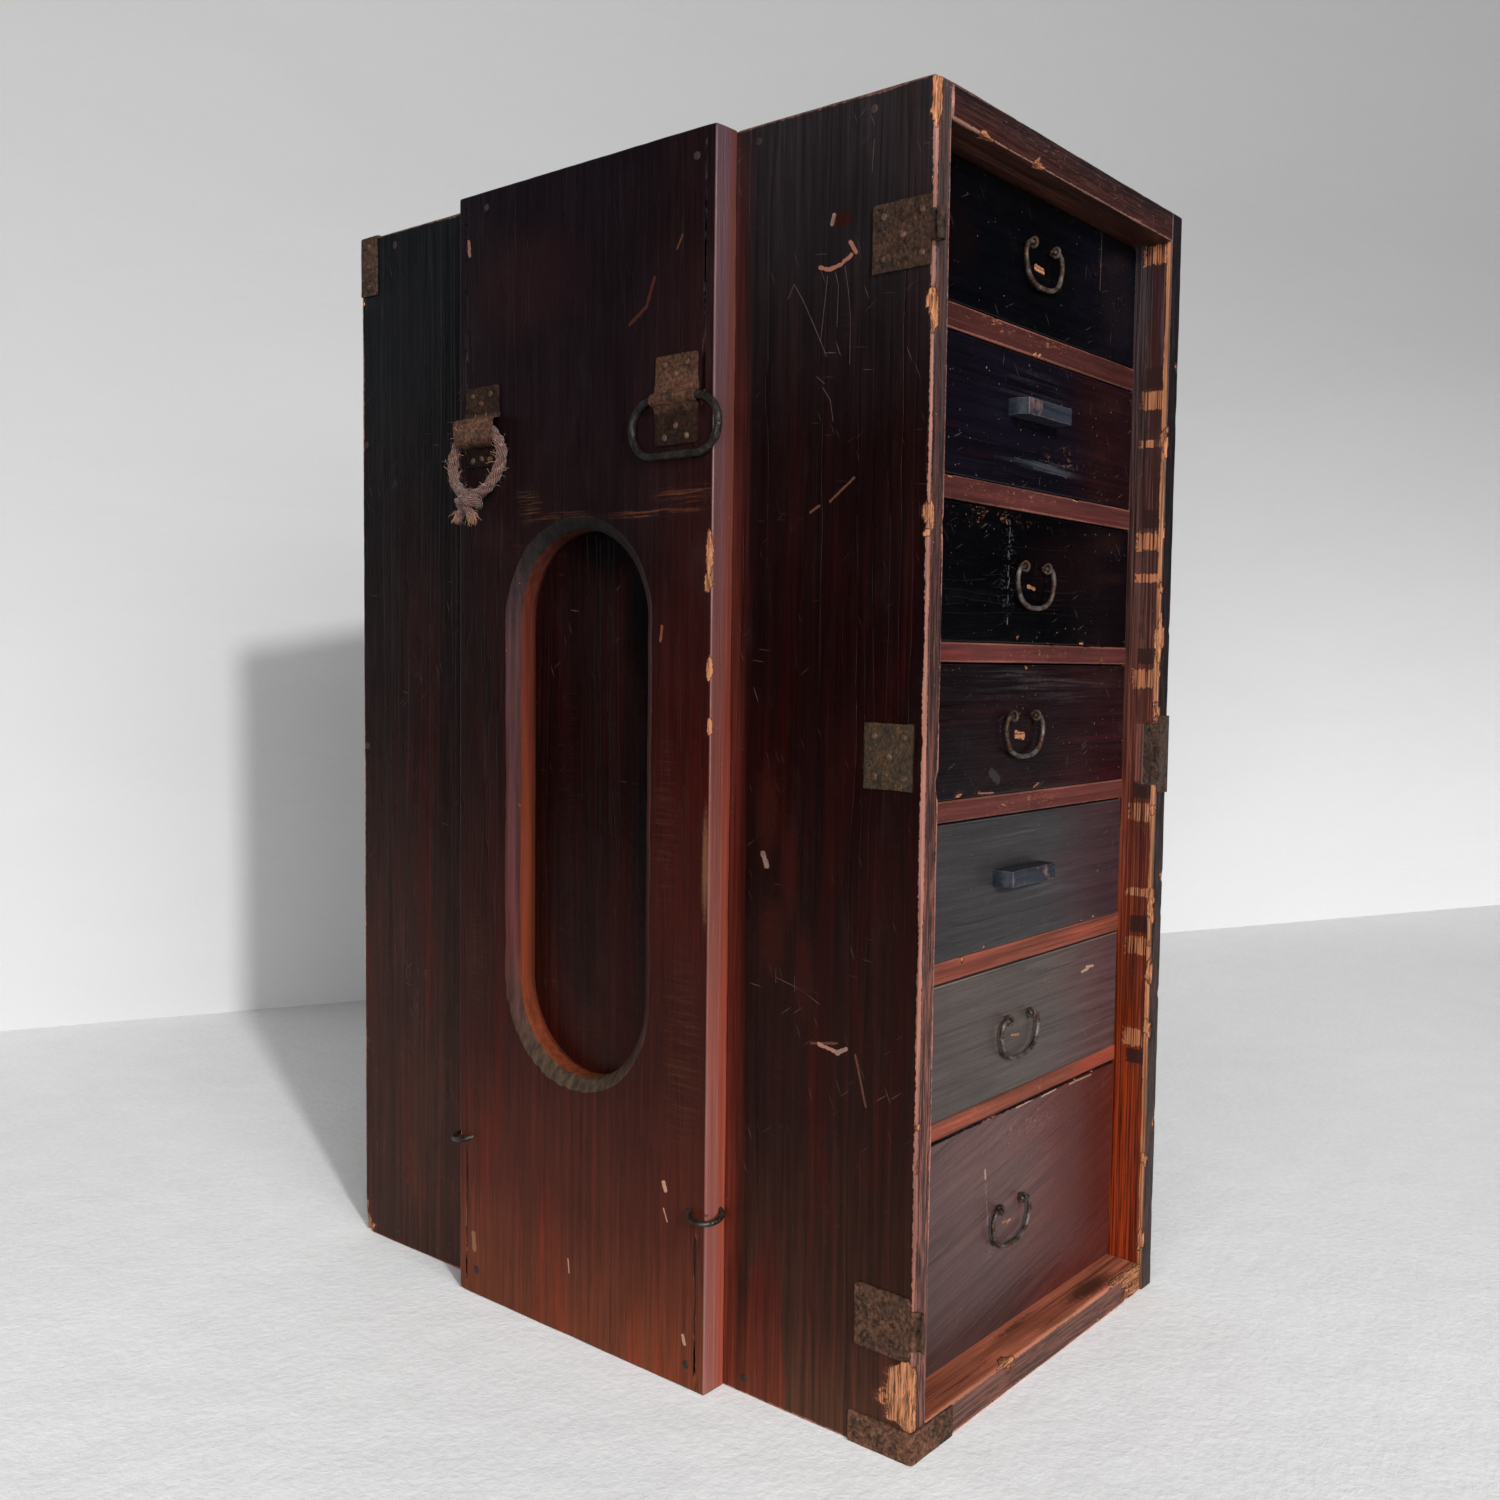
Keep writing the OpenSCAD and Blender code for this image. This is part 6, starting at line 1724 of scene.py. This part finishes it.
class CABINET_OT_plates(bpy.types.Operator):
    """Hinge leaves, middle plate and corner brackets in hammered sheet"""

    bl_idname = "cabinet.plates"
    bl_label = "Plates"

    def side_plate(self, node, y0, y1, z0, z1, corner, seed, finish, slot, knuckle=()):
        """A flat plate on the left side, with the parts of its knuckle."""
        off = SHEET / 2
        profile = [(y1, off), *((y, off) for y in np.linspace(y1, y0 + 0.002, 8)[1:-1]),
            (y0 + 0.0015, off)]
        points, faces = sheet_grid(length_of(profile), z1 - z0, SHEET, corner, seed)
        shaped = bent(points, profile)
        placed = np.stack([SIDE_X - shaped[:, 2], shaped[:, 0], (z0 + z1) / 2 - shaped[:, 1]], 1)
        piece = new_mesh(node + "_forged", *joined((placed, faces), *knuckle), 40)
        dress(piece, finish, "case", [node])

    def rolled(self, z0, z1, start, end, seed, torn=False):
        """A knuckle rolled from the leaf's own sheet round the pin's line, from one angle to another."""
        thick, outer = 0.0011, 0.003
        radius = outer - thick / 2
        line = [(FRONT_Y + 0.0016, SIDE_X - thick / 2), (FRONT_Y + 0.0002, SIDE_X - thick / 2 - 0.0002)]
        line += [(FRONT_Y - KNUCKLE_OUT + radius * math.cos(a), SIDE_X + radius * math.sin(a))
            for a in np.radians(np.linspace(start, end, 22))]
        points, faces = sheet_grid(length_of(line), z1 - z0, thick, 0.0004, seed, 0.001)
        if torn:
            # Its free end is gone, most of it in the middle
            tear = 0.55 + 0.25 * cloud(points * (0, 1, 0) + 0.3, 0.004, seed)
            bite = np.clip(soft_step(points[:, 0] / length_of(line), 0.35, 1) * tear, 0, 1)
            points[:, 0] -= bite * soft_step(np.abs(points[:, 1]) / ((z1 - z0) / 2), 0.1, 1) * 0.004
        shaped = bent(points, line)
        return np.stack([shaped[:, 2], shaped[:, 0], (z0 + z1) / 2 + shaped[:, 1]], 1), faces

    def bracket(self, node, legs, width_low, width_high, upright, seed, finish):
        """An angle of sheet round one corner of the case. legs are one end, the corner and the other."""
        first, corner, second = (Vector(place) for place in legs)
        bend = 0.0012
        one, two = (first - corner).normalized(), (second - corner).normalized()
        turn = [corner + one * bend * (1 - t) ** 2 + two * bend * t**2 for t in np.linspace(0, 1, 7)]
        profile = [legs[0], *map(tuple, turn), legs[2]]
        middle = (width_low + width_high) / 2
        points, faces = sheet_grid(length_of(profile), width_high - width_low, SHEET, 0.0008, seed)
        faces = np.asarray(faces)
        along_it, across, up = bent(points, profile).T
        if upright:
            placed, faces = np.stack([along_it, up, middle + across], 1), faces[:, ::-1]
        else:
            placed = np.stack([along_it, middle + across, up], 1)
        piece = new_mesh(node + "_forged", placed, faces, 40)
        dress(piece, finish, "case", [node])

    def execute(self, context):
        leaf = iron("rusty_iron_leaf", 0.42, metal=0.1, rough=0.55, pits=1.6,
            light=((0.60, 0.62), (0.65, 0.62)))
        low_leaf = iron("rusty_iron_low_leaf", 0.70, metal=0.1, rough=0.6, pits=1.7,
            light=((0.05, 0.8), (0.09, 0.8)))
        pin_line = [(SIDE_X, FRONT_Y - KNUCKLE_OUT, z) for z in np.linspace(0.61895, 0.63605, 8)]
        pin = swept(pin_line, [0.0010, *[0.0014] * 6, 0.0010], 14)
        knuckles = ([self.rolled(0.61975, 0.63525, 0, 268, 111), pin],
            [self.rolled(0.0605, 0.0815, 0, 208, 113, torn=True)])
        for node, finish, corner, seed, knuckle in zip(LEAVES, (leaf, low_leaf), (0.0006, 0.0026),
            (101, 103), knuckles):
            low, high = box_of(node)
            self.side_plate(node, FRONT_Y, FRONT_Y + LEAF_WIDTH, low[2], high[2], corner, seed, finish,
                "rusty_iron", knuckle)
        low, high = box_of("middle_plate")
        self.side_plate("middle_plate", low[1], high[1], low[2], high[2], 0.0007, 105,
            tarnished_brass("tarnished_brass_plate"), "old_brass")
        bracket_finish = iron("rusty_iron_bracket", 0.90, metal=0.1, rough=0.6, pits=1.2)
        half = SHEET / 2
        low, high = box_of("front_corner_bracket")
        self.bracket("front_corner_bracket", ((SIDE_X - half, high[1]), (SIDE_X - half, FRONT_Y - half),
            (high[0], FRONT_Y - half)), low[2], high[2], True, 107, bracket_finish)
        low, high = box_of("back_corner_bracket")
        self.bracket("back_corner_bracket", ((SIDE_X - half, low[2]), (SIDE_X - half, CASE_HEIGHT + half),
            (high[0], CASE_HEIGHT + half)), low[1], high[1], False, 109,
            iron("rusty_iron_dark_bracket", 0.30, metal=0.1, rough=0.6))
        finish_node("strike_plate", iron("forged_iron_strike", 0.35, metal=0.3, rough=0.55, bright=0.1))
        return {"FINISHED"}


class CABINET_OT_staples(bpy.types.Operator):
    """Two bent staples low on the plank's vertical corners"""

    bl_idname = "cabinet.staples"
    bl_label = "Staples"

    def execute(self, context):
        wire = sizes().staple_wire / 2
        inset, radius, reach, droop = 0.0038, 0.0095, 128.0, math.radians(14)
        parts = []
        for side in (-1, 1):
            middle = Vector((PLANK_X + inset, side * (PLANK_HIGH[1] - inset), STAPLE_Z))
            turn = Matrix.Rotation(math.radians(-45 * side), 3, "Z") @ Matrix.Rotation(-droop, 3, "Y")
            path = []
            for a in np.radians(np.linspace(180 - reach, 180 + reach, 44)):
                wide = radius * (1 + 0.03 * math.sin(3 * a))
                path.append(middle + turn @ Vector((wide * math.cos(a), wide * math.sin(a), 0)))
            path = np.array([tuple(p) for p in path])
            radii = wire * (1 + 0.05 * cloud(path, 0.004, 120 + side))
            parts.append(swept(path, radii, 12))
        piece = new_mesh("plank_staples_forged", *joined(*parts))
        dress(piece, iron("forged_iron_staple", 0.1, metal=0.6, rough=0.36, bright=0.25), "case",
            ["plank_staples"])
        return {"FINISHED"}


# Nails and pegs


def five_on(y0, y1, z0, z1, margin=0.0065):
    """Five places on a plate: its corners and its middle."""
    return [(y0 + margin, z0 + margin), (y1 - margin, z0 + margin), ((y0 + y1) / 2, (z0 + z1) / 2),
        (y0 + margin, z1 - margin), (y1 - margin, z1 - margin)]


class CABINET_OT_nails(bpy.types.Operator):
    """Nail heads on the ironwork and the ends of the wooden pegs"""

    bl_idname = "cabinet.nails"
    bl_label = "Nails and pegs"

    def execute(self, context):
        left, on_side, leg = (-1, 0, 0), [], 0.039
        for node in LEAVES:
            low, high = box_of(node)
            on_side += five_on(FRONT_Y, FRONT_Y + LEAF_WIDTH, low[2], high[2])
        low, high = box_of("middle_plate")
        on_side += five_on(low[1], high[1], low[2], high[2])
        low, high = box_of("front_corner_bracket")
        foot, wide = low[2], high[2] - low[2]
        on_side += [(FRONT_Y + y, foot + wide * z)
            for y, z in ((leg - 0.005, 0.27), (leg - 0.006, 0.75), (leg * 0.45, 0.5))]
        places = [((SIDE_X - SHEET, y, z), left) for y, z in on_side]
        places += [((SIDE_X + x, FRONT_Y - SHEET, foot + wide * z), (0, -1, 0))
            for x, z in ((leg - 0.005, 0.5), (leg * 0.45, 0.6))]
        low, high = box_of("back_corner_bracket")
        middle = (low[1] + high[1]) / 2
        places += [((SIDE_X - SHEET, middle, CASE_HEIGHT - leg * part), left)
            for part in (0.15, 0.5, 0.85)]
        places += [((SIDE_X + leg * part, middle, CASE_HEIGHT + SHEET), (0, 0, 1)) for part in (0.3, 0.8)]
        for node, (tunnel, drop) in STRAPS.items():
            low, high = box_of(node)
            middle, quarter = (low[1] + high[1]) / 2, (high[1] - low[1]) / 4
            up, down = high[2] - HINGE_Z, HINGE_Z - low[2]
            on_plank = [(middle - quarter, high[2] - 0.005), (middle + quarter, high[2] - 0.005),
                (middle, HINGE_Z + (up + tunnel) / 2), (middle - quarter, low[2] + 0.004),
                (middle + quarter, low[2] + 0.004), (middle,
                HINGE_Z - (down + drop + tunnel) / 2 - 0.001)]
            places += [((PLANK_X - SHEET, y, z), left) for y, z in on_plank]
        low, high = box_of("strike_plate")
        strike = (low[2] + high[2]) / 2
        places += [((low[0] + 0.0005, FRONT_Y + 0.0045, strike + side * 0.016), left) for side in (-1, 1)]
        size = sizes()
        heads = heads_recipe()
        nails = grown("iron_nail_heads", points_mesh(places), heads,
            iron("forged_iron_nails", 0.5, metal=0.2, rough=0.45, bright=0.06), Width=size.nail_head,
            Rise=size.nail_rise)
        dress(nails, None, "case", ["iron_nails"])

        pegs = [((PLANK_X, y, z), left) for y, z in ((-0.093, 0.685), (0.081, 0.690), (0.090, 0.017),
            (-0.093, 0.014))]
        depth = SIDE_HIGH[1] - SIDE_LOW[1]
        panel_low, panel_high = box_of("back_panel")
        for way in (-1, 1):
            x = way * abs(SIDE_X)
            pegs += [((x, depth * part, z), (way, 0, 0)) for part in (-0.42, -0.26, 0.26, 0.42)
                for z in (0.009, CASE_HEIGHT - 0.009)]
            pegs += [((x, (panel_low[1] + panel_high[1]) / 2, CASE_HEIGHT * part), (way, 0, 0))
                for part in (0.2, 0.5, 0.8)]
        plugs = grown("wood_peg_ends", points_mesh(pegs), heads,
            plain_cedar("lacquered_pegs", 0, (0.014, 0.0060, 0.0060, 1), 0.5), Width=size.peg_head,
            Rise=0.0004, Dents=0.0001)
        dress(plugs, None, "case", ["wood_pegs"])
        return {"FINISHED"}


# Add-on


class CABINET_PT_panel(bpy.types.Panel):
    """Lists the cabinet's pieces in the order in which they are made"""

    bl_label = "Cabinet"
    bl_idname = "CABINET_PT_panel"
    bl_space_type = "VIEW_3D"
    bl_region_type = "UI"
    bl_category = "Cabinet"

    def draw(self, context):
        for group in (context.scene.cabinet_sizes, context.scene.cabinet_colours):
            for key in group.__annotations__:
                self.layout.prop(group, key)
        for operator in OPERATORS:
            self.layout.operator(operator.bl_idname)


OPERATORS = (CABINET_OT_stage, CABINET_OT_rope, CABINET_OT_case, CABINET_OT_plank, CABINET_OT_rails,
    CABINET_OT_drawers, CABINET_OT_block_pulls, CABINET_OT_ring_pulls, CABINET_OT_straps,
    CABINET_OT_plates, CABINET_OT_staples, CABINET_OT_nails)
CLASSES = (CabinetSizes, CabinetColours, *OPERATORS, CABINET_PT_panel)


def register():
    for cls in CLASSES:
        bpy.utils.register_class(cls)
    bpy.types.Scene.cabinet_sizes = bpy.props.PointerProperty(type=CabinetSizes)
    bpy.types.Scene.cabinet_colours = bpy.props.PointerProperty(type=CabinetColours)


def unregister():
    del bpy.types.Scene.cabinet_colours
    del bpy.types.Scene.cabinet_sizes
    for cls in reversed(CLASSES):
        bpy.utils.unregister_class(cls)


def main():
    register()
    for operator in OPERATORS:
        group, name = operator.bl_idname.split(".")
        getattr(getattr(bpy.ops, group), name)()


if __name__ == "__main__":
    main()
